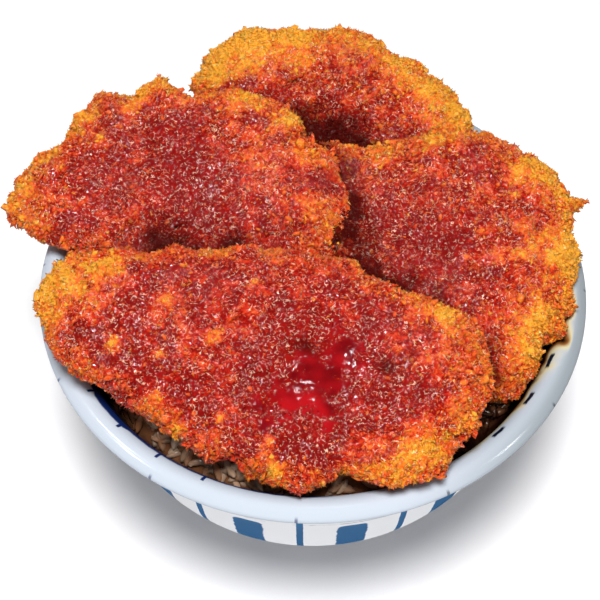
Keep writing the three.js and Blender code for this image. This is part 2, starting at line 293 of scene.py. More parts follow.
@dataclass(frozen=True)
class SaucedCrust:
    """Fried panko crumb: golden where it is dry, and deep glossy red where the tare has soaked in.

    The mesh carries four values: soak is how much tare a place has taken up, hollow is how deep it lies
    between the crumbs, wet is where the tare stands on it as liquid, and shade is painted shade, where it
    lies in the dark under another slice. Grains and depths are in millimetres. An edge is the range of a
    value over which something sets in, and a gain is how much of it there is. The hollows carry painted
    shade too, and the threads painted glints.
    """

    name: str = "sauced_panko_crust"
    mottle_grain: float = 2.6
    mottle_gain: float = 1.2
    speck_grain: float = 0.8
    speck_gain: float = 1.1
    # painted shade: the hollows are drawn redder and darker, where tare also gathers
    hollow_soak_and_shade_gain: float = 0.25
    hollow_shade_depth_edge: tuple[float, float] = (0.4, 1.2)
    hollow_shade_soak_edge: tuple[float, float] = (0.35, 0.9)
    hollow_shade_gain: float = 0.7
    # threads: pale fibres of crumb, drawn also as painted glints
    thread_glint_grain: float = 1.0
    thread_glint_edge: tuple[float, float] = (0.02, 0.08)
    break_grain: float = 0.9
    break_edge: tuple[float, float] = (0.48, 0.6)
    tangle_grain: float = 4.0
    tangle_edge: tuple[float, float] = (0.4, 0.6)
    fewest_thread_glints: float = 0.3
    fibre_glint_edge: tuple[float, float] = (0.15, 0.55)
    fibre_glint_gain: float = 0.78
    liquid_grain: float = 12.0
    liquid_edge: tuple[float, float] = (0.35, 0.6)
    # painted shade under another slice
    shade_black_gain: float = 0.92
    grit_grain: float = 1.1
    ridge_grain: float = 1.7
    ridge_gain: float = 1.6
    wave_grain: float = 6.0
    wave_gain: float = 0.8
    thread_glint_rise: float = 0.8
    calm: float = 0.94
    relief: float = 0.45
    gloss_edge: tuple[float, float] = (0.3, 0.9)
    dry_roughness: float = 0.5
    gloss_gain: float = 0.4
    wet_gain: float = 0.02
    dry_mirror: float = 0.55
    gloss_mirror: float = 0.45
    wet_loss: float = 0.55
    shade_loss: float = 0.9
    translucence: float = 0.35
    bleed: float = 0.9
    pale_gold: Colour = paint(217, 144, 38)
    gold: Colour = paint(205, 110, 26)
    amber: Colour = paint(204, 88, 24)
    rust: Colour = paint(188, 60, 22)
    red: Colour = paint(176, 37, 18)
    deep_red: Colour = paint(136, 15, 10)
    liquid: Colour = paint(152, 14, 20)
    liquid_dark: Colour = paint(92, 6, 10)
    # painted shade: the colour of the soaked hollows
    hollow_shade: Colour = paint(96, 10, 10)
    # painted shade under another slice
    shade_black: Colour = paint(52, 8, 6)
    # painted glints along the threads, and pale fibres of crumb
    dry_fibre_glint: Colour = paint(255, 214, 136)
    fibre_glint: Colour = paint(255, 196, 166)

    def _crumb(self, level: Signal, hollow: Signal) -> Signal:
        """The colour of the crumb, drawn darker in its soaked hollows as painted shade.

        Args:
            level: How soaked each place is.
            hollow: How deep it lies.

        Returns:
            The colour.
        """
        # painted shade: soaked hollows are darkened towards a very dark red
        hollow_shaded = hollow.step(*self.hollow_shade_depth_edge) * level.step(*self.hollow_shade_soak_edge) * self.hollow_shade_gain
        crumb = level.ramp(
            (0.0, self.pale_gold),
            (0.2, self.gold),
            (0.42, self.amber),
            (0.62, self.rust),
            (0.82, self.red),
            (1.0, self.deep_red),
        )
        return hollow_shaded.mix(crumb, self.hollow_shade)

    def _threads_and_glints(self, point: Signal, wet: Signal) -> Signal:
        """The mask of the thin bright threads that lie in tangles between the crumbs: pale fibres of crumb,
        and painted glints of light on the tare.

        Args:
            point: The place on the piece.
            wet: Where liquid covers the threads.

        Returns:
            The mask, 1 on the threads.
        """
        worm = point.noise(self.thread_glint_grain, detail=0.0).apart(0.5)
        broken = point.noise(self.break_grain, detail=0.0).step(*self.break_edge)
        patchy = point.noise(self.tangle_grain, detail=2.0, roughness=0.6).step(*self.tangle_edge)
        tangle = self.fewest_thread_glints + patchy * (1.0 - self.fewest_thread_glints)
        return worm.fall(*self.thread_glint_edge) * broken * tangle * (1.0 - wet)

    def _relief(self, point: Signal, thread_glint: Signal, wet: Signal) -> Signal:
        """The normal of the finest relief: grit and threads, and slow waves on the liquid.

        Args:
            point: The place on the piece.
            thread_glint: The mask of the threads.
            wet: Where the liquid is.

        Returns:
            The normal.
        """
        ridge = point.noise(self.ridge_grain, detail=0.0).apart(0.5)
        grit = (point.noise(self.grit_grain, detail=0.0) - ridge * self.ridge_gain) * (1.0 - wet * self.calm)
        waves = point.noise(self.wave_grain, detail=1.0) * wet
        return (grit + thread_glint * self.thread_glint_rise + waves * self.wave_gain).bump(self.relief)

    def material(self) -> bpy.types.Material:
        """Builds the material.

        Returns:
            The material.
        """
        graph = Graph(self.name)
        point = graph.point()
        soak, hollow, wet, shade = (graph.attribute(name) for name in ("soak", "hollow", "wet", "shade"))
        mottle = (point.noise(self.mottle_grain, detail=3.0, roughness=0.65) - 0.5) * self.mottle_gain
        speck = (point.noise(self.speck_grain, detail=2.0, roughness=0.6) - 0.5) * self.speck_gain
        # the hollows are drawn redder: tare gathered there, and painted shade
        level = soak + mottle + speck + hollow * self.hollow_soak_and_shade_gain
        thread_glint = self._threads_and_glints(point, wet)
        # painted glints: the threads are drawn pale yellow where dry and pale peach on the sauce, as fibres
        # of crumb and as glints of light
        fibre_glint = level.step(*self.fibre_glint_edge).mix(self.dry_fibre_glint, self.fibre_glint)
        colour = (thread_glint * self.fibre_glint_gain).mix(self._crumb(level, hollow), fibre_glint)
        deep = point.noise(self.liquid_grain).step(*self.liquid_edge)
        colour = wet.mix(colour, deep.mix(self.liquid, self.liquid_dark))
        gloss = level.step(*self.gloss_edge)
        mirrored = (1.0 - shade * self.shade_loss) * (1.0 - wet * self.wet_loss)
        sockets = {
            # painted shade: the base colour goes very dark where another slice lies close above
            "Base Color": (shade * self.shade_black_gain).mix(colour, self.shade_black),
            "Roughness": self.dry_roughness - gloss * self.gloss_gain - wet * self.wet_gain,
            "Specular IOR Level": 0.5,
            "Subsurface Weight": self.translucence,
            "Subsurface Scale": self.bleed * MM,
            "Normal": self._relief(point, thread_glint, wet),
        }
        return graph.finish(sockets, 1.0 - mirrored * (self.dry_mirror + gloss * self.gloss_mirror))


@dataclass(frozen=True)
class TareRice:
    """Cooked rice that the tare has stained, glossy, with each grain of its own tone."""

    name: str = "tare_rice"
    cloud_grain: float = 2.4
    cloud_gain: float = 0.3
    relief_grain: float = 0.7
    relief: float = 0.08
    roughness: float = 0.34
    gloss_edge: tuple[float, float] = (0.2, 0.8)
    gloss_gain: float = 0.16
    coat: float = 0.2
    coat_roughness: float = 0.12
    pale: Colour = paint(204, 184, 160)
    brown: Colour = paint(138, 90, 58)
    # the darkest rice: soaked in tare, and painted shade in the deep gaps
    dark: Colour = paint(36, 15, 8)

    def material(self) -> bpy.types.Material:
        """Builds the material.

        Returns:
            The material.
        """
        graph = Graph(self.name)
        point = graph.point()
        cloud = point.noise(self.cloud_grain) - 0.5
        level = graph.attribute("soak") + cloud * self.cloud_gain
        sockets = {
            "Base Color": level.ramp((0.0, self.pale), (0.55, self.brown), (1.0, self.dark)),
            "Roughness": self.roughness - level.step(*self.gloss_edge) * self.gloss_gain,
            "Coat Weight": self.coat,
            "Coat Roughness": self.coat_roughness,
            "Normal": point.noise(self.relief_grain).bump(self.relief),
        }
        return graph.finish(sockets)


@dataclass(frozen=True)
class BowlPlace:
    """Where a place of the bowl lies, seen from the bowl's axis.

    The shift to the right is in metres, the height and the reach are in millimetres, and the turn is in
    degrees. The brush is how far a painted edge strays there, and the painted height strays with it.
    """

    right: Signal
    height: Signal
    reach: Signal
    turn: Signal
    brush: Signal
    painted: Signal
    inside: Signal

    @classmethod
    def read(
        cls,
        point: Signal,
        brush_grain: float = 3.0,
        brush_gain: float = 0.9,
        height_gain: float = 0.8,
    ) -> "BowlPlace":
        """Works the place out.

        Args:
            point: The place on the bowl, from its axis and in metres.
            brush_grain: How wide the brush's waves are, in millimetres.
            brush_gain: How far it strays.
            height_gain: How much of that the painted height takes.

        Returns:
            The place.
        """
        graph = point.graph
        x, y, z = (Signal(graph, s) for s in graph.node("ShaderNodeSeparateXYZ", None, {0: point}).outputs)
        height = z / MM
        brush = (point.noise(brush_grain, detail=2.0, roughness=0.6) - 0.5) * brush_gain
        return cls(
            right=x,
            height=height,
            reach=(x * x + y * y).math("SQRT") / MM,
            turn=y.math("ARCTAN2", x) * (180 / math.pi),
            brush=brush,
            painted=height + brush * height_gain,
            inside=graph.attribute("inside"),
        )


@dataclass(frozen=True)
class StripedPorcelain:
    """White glazed porcelain with brushed blue stripes, and tare stains on the inside of the wall. The right
    side carries painted shade, and a painted shadow line runs under the lip.

    Turns are in degrees round the bowl, and heights and reaches in millimetres. Shifts to the right are
    in metres. An edge is the range over which something fades.
    """

    name: str = "striped_porcelain"
    glaze: Colour = paint(224, 226, 229)
    lip_tint: Colour = paint(169, 177, 187)
    # painted shade on the right side of the lip
    lip_shade: Colour = paint(131, 138, 143)
    cobalt: Colour = paint(54, 118, 168)
    cobalt_low: Colour = paint(42, 92, 136)
    navy: Colour = paint(16, 34, 84)
    # painted shade: the navy marks on the right half drawn very dark
    shaded_navy: Colour = paint(12, 18, 34)
    # painted shadow: a thin grey line under the lip
    crease_shadow: Colour = paint(120, 130, 140)
    tare_pale: Colour = paint(182, 172, 136)
    tare: Colour = paint(120, 74, 34)
    # very dark tare, which stands also for painted shade in the deep gap at the right
    dark_tare_and_shade: Colour = paint(24, 10, 6)
    stripes: int = 15
    wide_turn: float = -80.3
    wide_half: float = 3.5
    thin_turn: float = -92.3
    thin_half: float = 0.8
    thin_stray: float = 0.3
    bar_corner: float = 4.0
    bar_edge: tuple[float, float] = (0.8, 1.2)
    ticks: int = 12
    tick_turn: float = -92.6
    tick_half: tuple[float, float] = (0.18, 0.42)
    tick_reach: tuple[float, float] = (76.0, 76.5)
    tick_foot: tuple[float, float] = (76.4, 76.9)
    tick_head: tuple[float, float] = (78.4, 79.2)
    tick_gain: float = 0.7
    dashes: int = 32
    dash_turn: float = -124.1
    dash_half: float = 0.4
    dash_widening: float = 1.6
    dash_edge: tuple[float, float] = (0.7, 1.2)
    dash_outer: tuple[float, float] = (71.3, 71.6)
    dash_inner: tuple[float, float] = (70.2, 70.5)
    marks_outer: tuple[float, float] = (72.3, 72.7)
    ring_outer: tuple[float, float] = (70.3, 70.9)
    ring_stray: float = 0.8
    patch_turn: float = -140.0
    patch_half: tuple[float, float] = (5.0, 7.0)
    patch_width: float = 0.8
    plain_turn: float = -78.0
    plain_half: tuple[float, float] = (26.0, 28.0)
    foot_edge: tuple[float, float] = (8.5, 9.5)
    bar_shoulder: float = 51.5
    bar_top: float = 56.5
    line_top: float = 62.0
    line_round: float = 3.0
    # the painted shadow line under the lip
    crease_foot: tuple[float, float] = (58.2, 58.6)
    crease_head: tuple[float, float] = (59.2, 59.6)
    crease_wash: tuple[float, float] = (0.45, 0.6)
    crease_gain: float = 0.5
    lip_edge: tuple[float, float] = (73.0, 76.0)
    lip_outer: tuple[float, float] = (71.5, 76.5)
    shade_right: tuple[float, float] = (0.02, 0.07)
    least_shade: float = 0.3
    spill_edge: tuple[float, float] = (67.4, 73.6)
    spill_grain: float = 9.0
    spill_stray: float = 6.0
    spill_sides: tuple[float, float] = (0.03, 0.055)
    clear_left: tuple[float, float] = (0.0, 0.04)
    clear_left_depth: float = 2.0
    clear_right: tuple[float, float] = (0.035, 0.05)
    clear_right_depth: float = 1.4
    # at the far right the tare is drawn thickest: dark tare, and painted shade
    flood_and_shade_right: tuple[float, float] = (0.06, 0.074)
    flood_and_shade_depth: float = 4.4
    spill_cover: tuple[float, float] = (0.0, 0.4)
    wash_grain: float = 9.0
    wash_edge: tuple[float, float] = (0.3, 0.8)
    wash_gain: float = 0.3
    blue_edge: tuple[float, float] = (50.0, 74.0)
    glaze_grain: float = 14.0
    glaze_roughness: float = 0.18
    roughness_gain: float = 0.08
    wall_coat: float = 0.08
    lip_coat: float = 0.22
    coat_edge: tuple[float, float] = (74.0, 76.0)
    coat_roughness: float = 0.16
    right_edge: tuple[float, float] = (0.0, 0.01)
    front_turn: float = -90.0
    front_half: tuple[float, float] = (40.0, 90.0)
    fan: float = 0.2

    @staticmethod
    def _off(turn: Signal, count: int, middle: float) -> Signal:
        """How far a place is from the nearest of a set of equal marks round the bowl.

        Args:
            turn: The bearing round the bowl, in degrees.
            count: How many marks there are.
            middle: The bearing of the middle of one of them.

        Returns:
            The angle, in degrees.
        """
        pitch = 360.0 / count
        phase = ((turn - (middle - pitch / 2)) / pitch + float(count)).math("FRACT")
        return phase.apart(0.5) * pitch

    def _bar(self, off: Signal, half: float, rise: Signal) -> Signal:
        """The mask of bars with round tops.

        Args:
            off: The angle from the middle of the nearest bar.
            half: Half the width of a bar, in degrees.
            rise: The height over the place where the bars start to round off, as a share of the rounding.

        Returns:
            The mask, 1 on the bars.
        """
        across = (off / half).math("POWER", self.bar_corner)
        return (across + rise.most(0.0).math("POWER", self.bar_corner)).fall(*self.bar_edge)

    def _striped(self, at: BowlPlace) -> Signal:
        """The mask of the broad bars and the thin lines between them, which lean a little near the front.

        Args:
            at: The place on the bowl.

        Returns:
            The mask, 1 on the stripes.
        """
        ahead = at.turn.apart(self.front_turn).fall(*self.front_half)
        lean = at.right / (at.reach * MM) * (at.height - self.line_top) * ahead * self.fan
        rise = (at.painted - self.bar_shoulder) / (self.bar_top - self.bar_shoulder)
        off = self._off(at.turn + lean + at.brush, self.stripes, self.wide_turn)
        wide = self._bar(off, self.wide_half, rise)
        rise = (at.painted - self.line_top) / self.line_round
        off = self._off(at.turn + lean + at.brush * self.thin_stray, self.stripes, self.thin_turn)
        thin = self._bar(off, self.thin_half, rise)
        return wide.most(thin) * at.painted.step(*self.foot_edge) * (1.0 - at.inside)

    def _inked(self, at: BowlPlace, right: Signal) -> Signal:
        """The mask of the small marks on the lip.

        Short ticks go round its outer edge. Dashes hang inside it, but not in front, and a line runs along
        the left half of its inner edge, wider at one place.

        Args:
            at: The place on the bowl.
            right: The right half of the bowl.

        Returns:
            The mask, 1 on the marks.
        """
        outer = at.height.step(*self.tick_foot) * at.height.fall(*self.tick_head)
        outer = outer * at.reach.step(*self.tick_reach)
        ticks = self._off(at.turn, self.ticks, self.tick_turn).fall(*self.tick_half)
        edge = at.reach + at.brush
        half = self.dash_half + right * self.dash_widening
        off = self._off(at.turn + at.brush, self.dashes, self.dash_turn) / half
        behind = at.turn.apart(self.plain_turn).step(*self.plain_half)
        ends = edge.step(*self.dash_outer).most(edge.fall(*self.dash_inner))
        dashes = off.fall(*self.dash_edge) * behind * (1.0 - ends * right)
        patch = at.turn.apart(self.patch_turn).fall(*self.patch_half) * self.patch_width
        ring = (at.reach + at.brush * self.ring_stray - patch).fall(*self.ring_outer) * (1.0 - right)
        inner = edge.fall(*self.marks_outer) * at.inside
        return (ticks * outer * self.tick_gain).most(dashes.most(ring) * inner)

    def _spill(self, point: Signal, at: BowlPlace) -> Signal:
        """How thick the tare lies on the inside of the wall, which it stains at both sides. At the far right
        it is drawn thickest and darkest, as tare and as painted shade.

        Args:
            point: The place on the bowl, from its axis.
            at: The same place.

        Returns:
            The thickness, from 0 to 1.
        """
        cloud = (point.noise(self.spill_grain) - 0.5) * self.spill_stray
        clear = (at.right * -1.0).step(*self.clear_left) * self.clear_left_depth
        clear = clear + at.right.step(*self.clear_right) * self.clear_right_depth
        # at the far right the tare is drawn thickest: dark tare, and painted shade
        flooded_and_shaded = at.right.step(*self.flood_and_shade_right) * self.flood_and_shade_depth
        sides = at.right.apart(0.0).step(*self.spill_sides)
        return (at.reach + cloud + clear - flooded_and_shaded).fall(*self.spill_edge) * at.inside * sides

    def _ground(self, point: Signal, at: BowlPlace, wash: Signal) -> Signal:
        """The colour of the bowl under its painted marks: the glaze, the tinted lip with painted shade on
        its right side, a painted shadow line under the lip, and the tare on it.

        Args:
            point: The place on the bowl, from its axis.
            at: The same place.
            wash: How thin the painter's wash is.

        Returns:
            The colour.
        """
        # painted shade: the right side of the lip is drawn darker, most towards its outer edge
        shaded = at.reach.step(*self.lip_outer) * (1.0 - self.least_shade) + self.least_shade
        lip = (at.right.step(*self.shade_right) * shaded).mix(self.lip_tint, self.lip_shade)
        ground = at.height.step(*self.lip_edge).mix(self.glaze, lip)
        # painted shadow: a thin grey line under the lip, where the wash is thin
        crease = at.painted.step(*self.crease_foot) * at.painted.fall(*self.crease_head)
        crease_shadow_share = crease * wash.step(*self.crease_wash) * self.crease_gain
        ground = crease_shadow_share.mix(ground, self.crease_shadow)
        spill = self._spill(point, at)
        # the darkest stop is dark tare, and painted shade at the right
        stops = ((0.0, self.lip_tint), (0.36, self.tare_pale), (0.58, self.tare), (0.74, self.dark_tare_and_shade))
        return spill.step(*self.spill_cover).mix(ground, spill.ramp(*stops))

    def material(self) -> bpy.types.Material:
        """Builds the material.

        Returns:
            The material.
        """
        graph = Graph(self.name)
        point = graph.point(bowl_axis())
        at = BowlPlace.read(point)
        right = at.right.step(*self.right_edge)
        wash = point.noise(self.wash_grain, detail=3.0, roughness=0.6)
        blue = at.painted.step(*self.blue_edge).mix(self.cobalt_low, self.cobalt)
        blue = (wash.step(*self.wash_edge) * self.wash_gain).mix(blue, self.cobalt_low)
        colour = self._striped(at).mix(self._ground(point, at, wash), blue)
        sockets = {
            # painted shade: the marks on the right half are drawn very dark
            "Base Color": self._inked(at, right).mix(colour, right.mix(self.navy, self.shaded_navy)),
            "Roughness": self.glaze_roughness + point.noise(self.glaze_grain) * self.roughness_gain,
            "Specular IOR Level": 0.0,
            "Coat Weight": self.wall_coat + at.height.step(*self.coat_edge) * self.lip_coat,
            "Coat Roughness": self.coat_roughness,
        }
        return graph.finish(sockets)


@dataclass(frozen=True)
class PaleFloor:
    """The plain pale sheet that the bowl stands on."""

    name: str = "pale_floor"
    tone: Colour = paint(232, 231, 232)
    glow: float = 0.02
    grain: float = 60.0
    roughness: float = 0.75
    roughness_gain: float = 0.1

    def material(self) -> bpy.types.Material:
        """Builds the material.

        Returns:
            The material.
        """
        graph = Graph(self.name)
        sockets = {
            "Base Color": self.tone,
            "Roughness": self.roughness + graph.point().noise(self.grain) * self.roughness_gain,
            "Emission Color": self.tone,
            "Emission Strength": self.glow,
        }
        return graph.finish(sockets)


# Meshes


def new_piece(name: str, mesh: bpy.types.Mesh, material: bpy.types.Material) -> bpy.types.Object:
    """Puts a mesh in the scene as a piece of one material, shaded as a rounded surface.

    Args:
        name: The piece's name.
        mesh: Its mesh, with its place in it.
        material: Its finish.

    Returns:
        The object, which stands at the origin.
    """
    mesh.name = name
    mesh.materials.clear()
    mesh.materials.append(material)
    mesh.polygons.foreach_set("use_smooth", np.ones(len(mesh.polygons), bool))
    piece = bpy.data.objects.new(name, mesh)
    bpy.context.scene.collection.objects.link(piece)
    return piece


def ride(piece: bpy.types.Object, slot: str, *nodes: str) -> None:
    """Makes a piece part of the bowl.

    Args:
        piece: The piece.
        slot: The name of a material slot; not used.
        *nodes: The CAD nodes that it stands for.
    """
    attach(piece, BODY)
    if nodes:
        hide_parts(*nodes)
    piece.data.calc_loop_triangles()
    log.info("%s: %d triangles", piece.name, len(piece.data.loop_triangles))


def gathered(
    items: bpy.types.bpy_prop_collection,
    field: str,
    width: int,
    kind: type = float,
) -> np.ndarray:
    """One field of all the items of a mesh.

    Args:
        items: The items, such as its vertices.
        field: The field's name.
        width: How many numbers it holds.
        kind: What they are stored as.

    Returns:
        The numbers, one row for each item if it holds several.
    """
    values = np.empty(len(items) * width, kind)
    items.foreach_get(field, values)
    return values.reshape(-1, width) if width > 1 else values


def points_of(mesh: bpy.types.Mesh) -> np.ndarray:
    """The places of a mesh's vertices, one row each."""
    return gathered(mesh.vertices, "co", 3)


def normals_of(mesh: bpy.types.Mesh) -> np.ndarray:
    """The normals of a mesh's vertices, one row each."""
    return gathered(mesh.vertex_normals, "vector", 3)


def triangles_of(mesh: bpy.types.Mesh) -> tuple[np.ndarray, np.ndarray]:
    """The triangles of a mesh.

    Args:
        mesh: The mesh.

    Returns:
        The vertices of each triangle, one row each, and their areas.
    """
    mesh.calc_loop_triangles()
    corners = np.array([t.vertices[:] for t in mesh.loop_triangles])
    return corners, np.array([t.area for t in mesh.loop_triangles])


def carry(mesh: bpy.types.Mesh, **values: np.ndarray) -> None:
    """Stores values on a mesh's points, for its material.

    Args:
        mesh: The mesh.
        **values: One number for each point, under the name that the material reads.
    """
    for name, value in values.items():
        layer = mesh.attributes.new(name, "FLOAT", "POINT")
        layer.data.foreach_set("value", np.asarray(value, np.float32))


def carried(mesh: bpy.types.Mesh, name: str) -> np.ndarray:
    """The values that a mesh carries under a name."""
    return gathered(mesh.attributes[name].data, "value", 1, np.float32)


def merged_copy(node: str, weld: float = 0.01) -> bpy.types.Mesh:
    """A copy of a CAD node's mesh, with its loose triangles joined.

    Args:
        node: The node's name.
        weld: How near points are that become one, in millimetres.

    Returns:
        The copy.
    """
    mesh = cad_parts[node].data.copy()
    shape = bmesh.new()
    shape.from_mesh(mesh)
    bmesh.ops.remove_doubles(shape, verts=shape.verts, dist=weld * MM)
    shape.to_mesh(mesh)
    shape.free()
    return mesh


def remeshed(mesh: bpy.types.Mesh, voxel: float, rounds: int) -> bpy.types.Mesh:
    """An even mesh of the same form.

    Args:
        mesh: The mesh to go over.
        voxel: The size of its new faces, in millimetres.
        rounds: How often the result is smoothed.

    Returns:
        The new mesh.
    """
    carrier = bpy.data.objects.new("carrier", mesh)
    bpy.context.scene.collection.objects.link(carrier)
    remesh = carrier.modifiers.new("even", "REMESH")
    remesh.mode = "VOXEL"
    remesh.voxel_size = voxel * MM
    smooth = carrier.modifiers.new("soften", "SMOOTH")
    smooth.factor = 0.5
    smooth.iterations = rounds
    graph = bpy.context.evaluated_depsgraph_get()
    result = bpy.data.meshes.new_from_object(carrier.evaluated_get(graph))
    bpy.data.objects.remove(carrier)
    return result


def joined(
    name: str,
    shapes: Sequence[Shape],
    picks: np.ndarray,
    turns: np.ndarray,
    places: np.ndarray,
) -> tuple[bpy.types.Mesh, np.ndarray, np.ndarray]:
    """One mesh of many copies of a few small shapes.

    Args:
        name: The mesh's name.
        shapes: The shapes.
        picks: Which shape each copy takes.
        turns: The turn and scale of each copy, as 3 by 3 matrices.
        places: Where each copy goes.

    Returns:
        The mesh, the copy that each of its points belongs to, and how high each point lies in its own
        shape, as a share of that shape's height.
    """
    points, faces, owners, heights, start = [], [], [], [], 0
    for index, (corners, triangles) in enumerate(shapes):
        chosen = np.flatnonzero(picks == index)
        placed = np.einsum("nij,mj->nmi", turns[chosen], corners) + places[chosen, None, :]
        points.append(placed.reshape(-1, 3))
        offsets = start + np.arange(len(chosen)) * len(corners)
        faces.append((triangles[None] + offsets[:, None, None]).reshape(-1, 3))
        owners.append(np.repeat(chosen, len(corners)))
        heights.append(np.tile(corners[:, 2] / np.abs(corners[:, 2]).max(), len(chosen)))
        start += len(chosen) * len(corners)
    points, faces = np.concatenate(points), np.concatenate(faces)
    mesh = bpy.data.meshes.new(name)
    mesh.vertices.add(len(points))
    mesh.vertices.foreach_set("co", points.ravel())
    mesh.loops.add(faces.size)
    mesh.loops.foreach_set("vertex_index", faces.ravel())
    mesh.polygons.add(len(faces))
    mesh.polygons.foreach_set("loop_start", np.arange(0, faces.size, 3))
    mesh.update(calc_edges=True)
    return mesh, np.concatenate(owners), np.concatenate(heights)


def small_shape(shape: bmesh.types.BMesh) -> Shape:
    """The points and triangles of a small shape.

    Args:
        shape: The shape, which is freed.

    Returns:
        Its points and its triangles, one row each.
    """
    bmesh.ops.triangulate(shape, faces=shape.faces)
    shape.verts.index_update()
    corners = np.array([v.co[:] for v in shape.verts])
    triangles = np.array([[v.index for v in f.verts] for f in shape.faces])
    shape.free()
    return corners, triangles


def facing_turns(normals: np.ndarray, tilt: np.ndarray, rng: np.random.Generator) -> np.ndarray:
    """Random turns that hold each shape's own Z near a surface's normal.

    Args:
        normals: The normal of the surface at each shape.
        tilt: How far each leans away from it, in radians.
        rng: The source of random numbers.

    Returns:
        A 3 by 3 matrix for each shape.
    """
    count = len(normals)
    side = unit(np.cross(normals, rng.normal(size=(count, 3))))
    up = normals * np.cos(tilt)[:, None] + side * np.sin(tilt)[:, None]
    along = unit(np.cross(up, rng.normal(size=(count, 3))))
    return np.stack([along, np.cross(up, along), up], axis=2)


def unit(rows: np.ndarray) -> np.ndarray:
    """The same directions at a length of 1."""
    return rows / np.linalg.norm(rows, axis=1)[:, None]


def smoothstep(value: np.ndarray, low: float, high: float) -> np.ndarray:
    """A smooth rise from 0 to 1 while the value goes from low to high."""
    t = np.clip((value - low) / (high - low), 0, 1)
    return t * t * (3 - 2 * t)


def lumps(places: np.ndarray, grain: float, seed: float) -> np.ndarray:
    """Cloudy noise from about -1 to 1, whose lumps are one grain (in millimetres) wide."""
    shift = Vector((seed, -seed, seed / 2))
    return np.array([noise.noise(Vector(p) + shift) for p in (places / (grain * MM)).tolist()])


class Cloud(NamedTuple):
    """A layer of noise: how wide its lumps are in millimetres, how strong it is, and its own seed."""

    grain: float
    gain: float
    seed: float


def clouds(places: np.ndarray, seed: float, *layers: Cloud) -> np.ndarray:
    """The sum of some layers of noise.

    Args:
        places: The places, in metres.
        seed: What makes them different from the same layers on another piece.
        *layers: The layers.

    Returns:
        The value at each place.
    """
    return sum(layer.gain * lumps(places, layer.grain, seed + layer.seed) for layer in layers)


def crumbs_at(
    places: np.ndarray,
    grain: float,
    seed: float,
    unevenness: float = 0.35,
    jumble: float = 3.7,
    steepness: float = 2.2,
    roundness: float = 0.35,
) -> np.ndarray:
    """How high a surface of crumbs that are packed side by side rises at each place.

    Args:
        places: The places, in metres.
        grain: How wide the crumbs are, in millimetres.
        seed: What makes them different from other crumbs.
        unevenness: How much their own heights differ.
        jumble: How little the heights of neighbours have to do with each other.
        steepness: How fast a crumb rises from the gap round it.
        roundness: How much it still rises towards its middle.

    Returns:
        The heights, from 0 to 1.
    """
    shift = Vector((seed, seed / 3, -seed))
    heights = np.empty(len(places))
    for i, place in enumerate((places / (grain * MM)).tolist()):
        (near, far, *_), (middle, *_) = noise.voronoi(Vector(place) + shift)
        own = 1 - unevenness + unevenness * noise.noise(middle * jumble)
        heights[i] = own * min(1.0, steepness * (far - near) + roundness * (1 - near))
    return heights


def bezier(corners: Sequence[tuple[float, float]], steps: int) -> list[tuple[float, float]]:
    """Points along a curve.

    Args:
        corners: Its control points.
        steps: How many stretches it is cut into.

    Returns:
        The points, from the first control point to the last one.
    """
    points = []
    for i in range(steps + 1):
        level = [Vector(c) for c in corners]
        while len(level) > 1:
            level = [a.lerp(b, i / steps) for a, b in zip(level, level[1:])]
        points.append(tuple(level[0]))
    return points


# The bowl


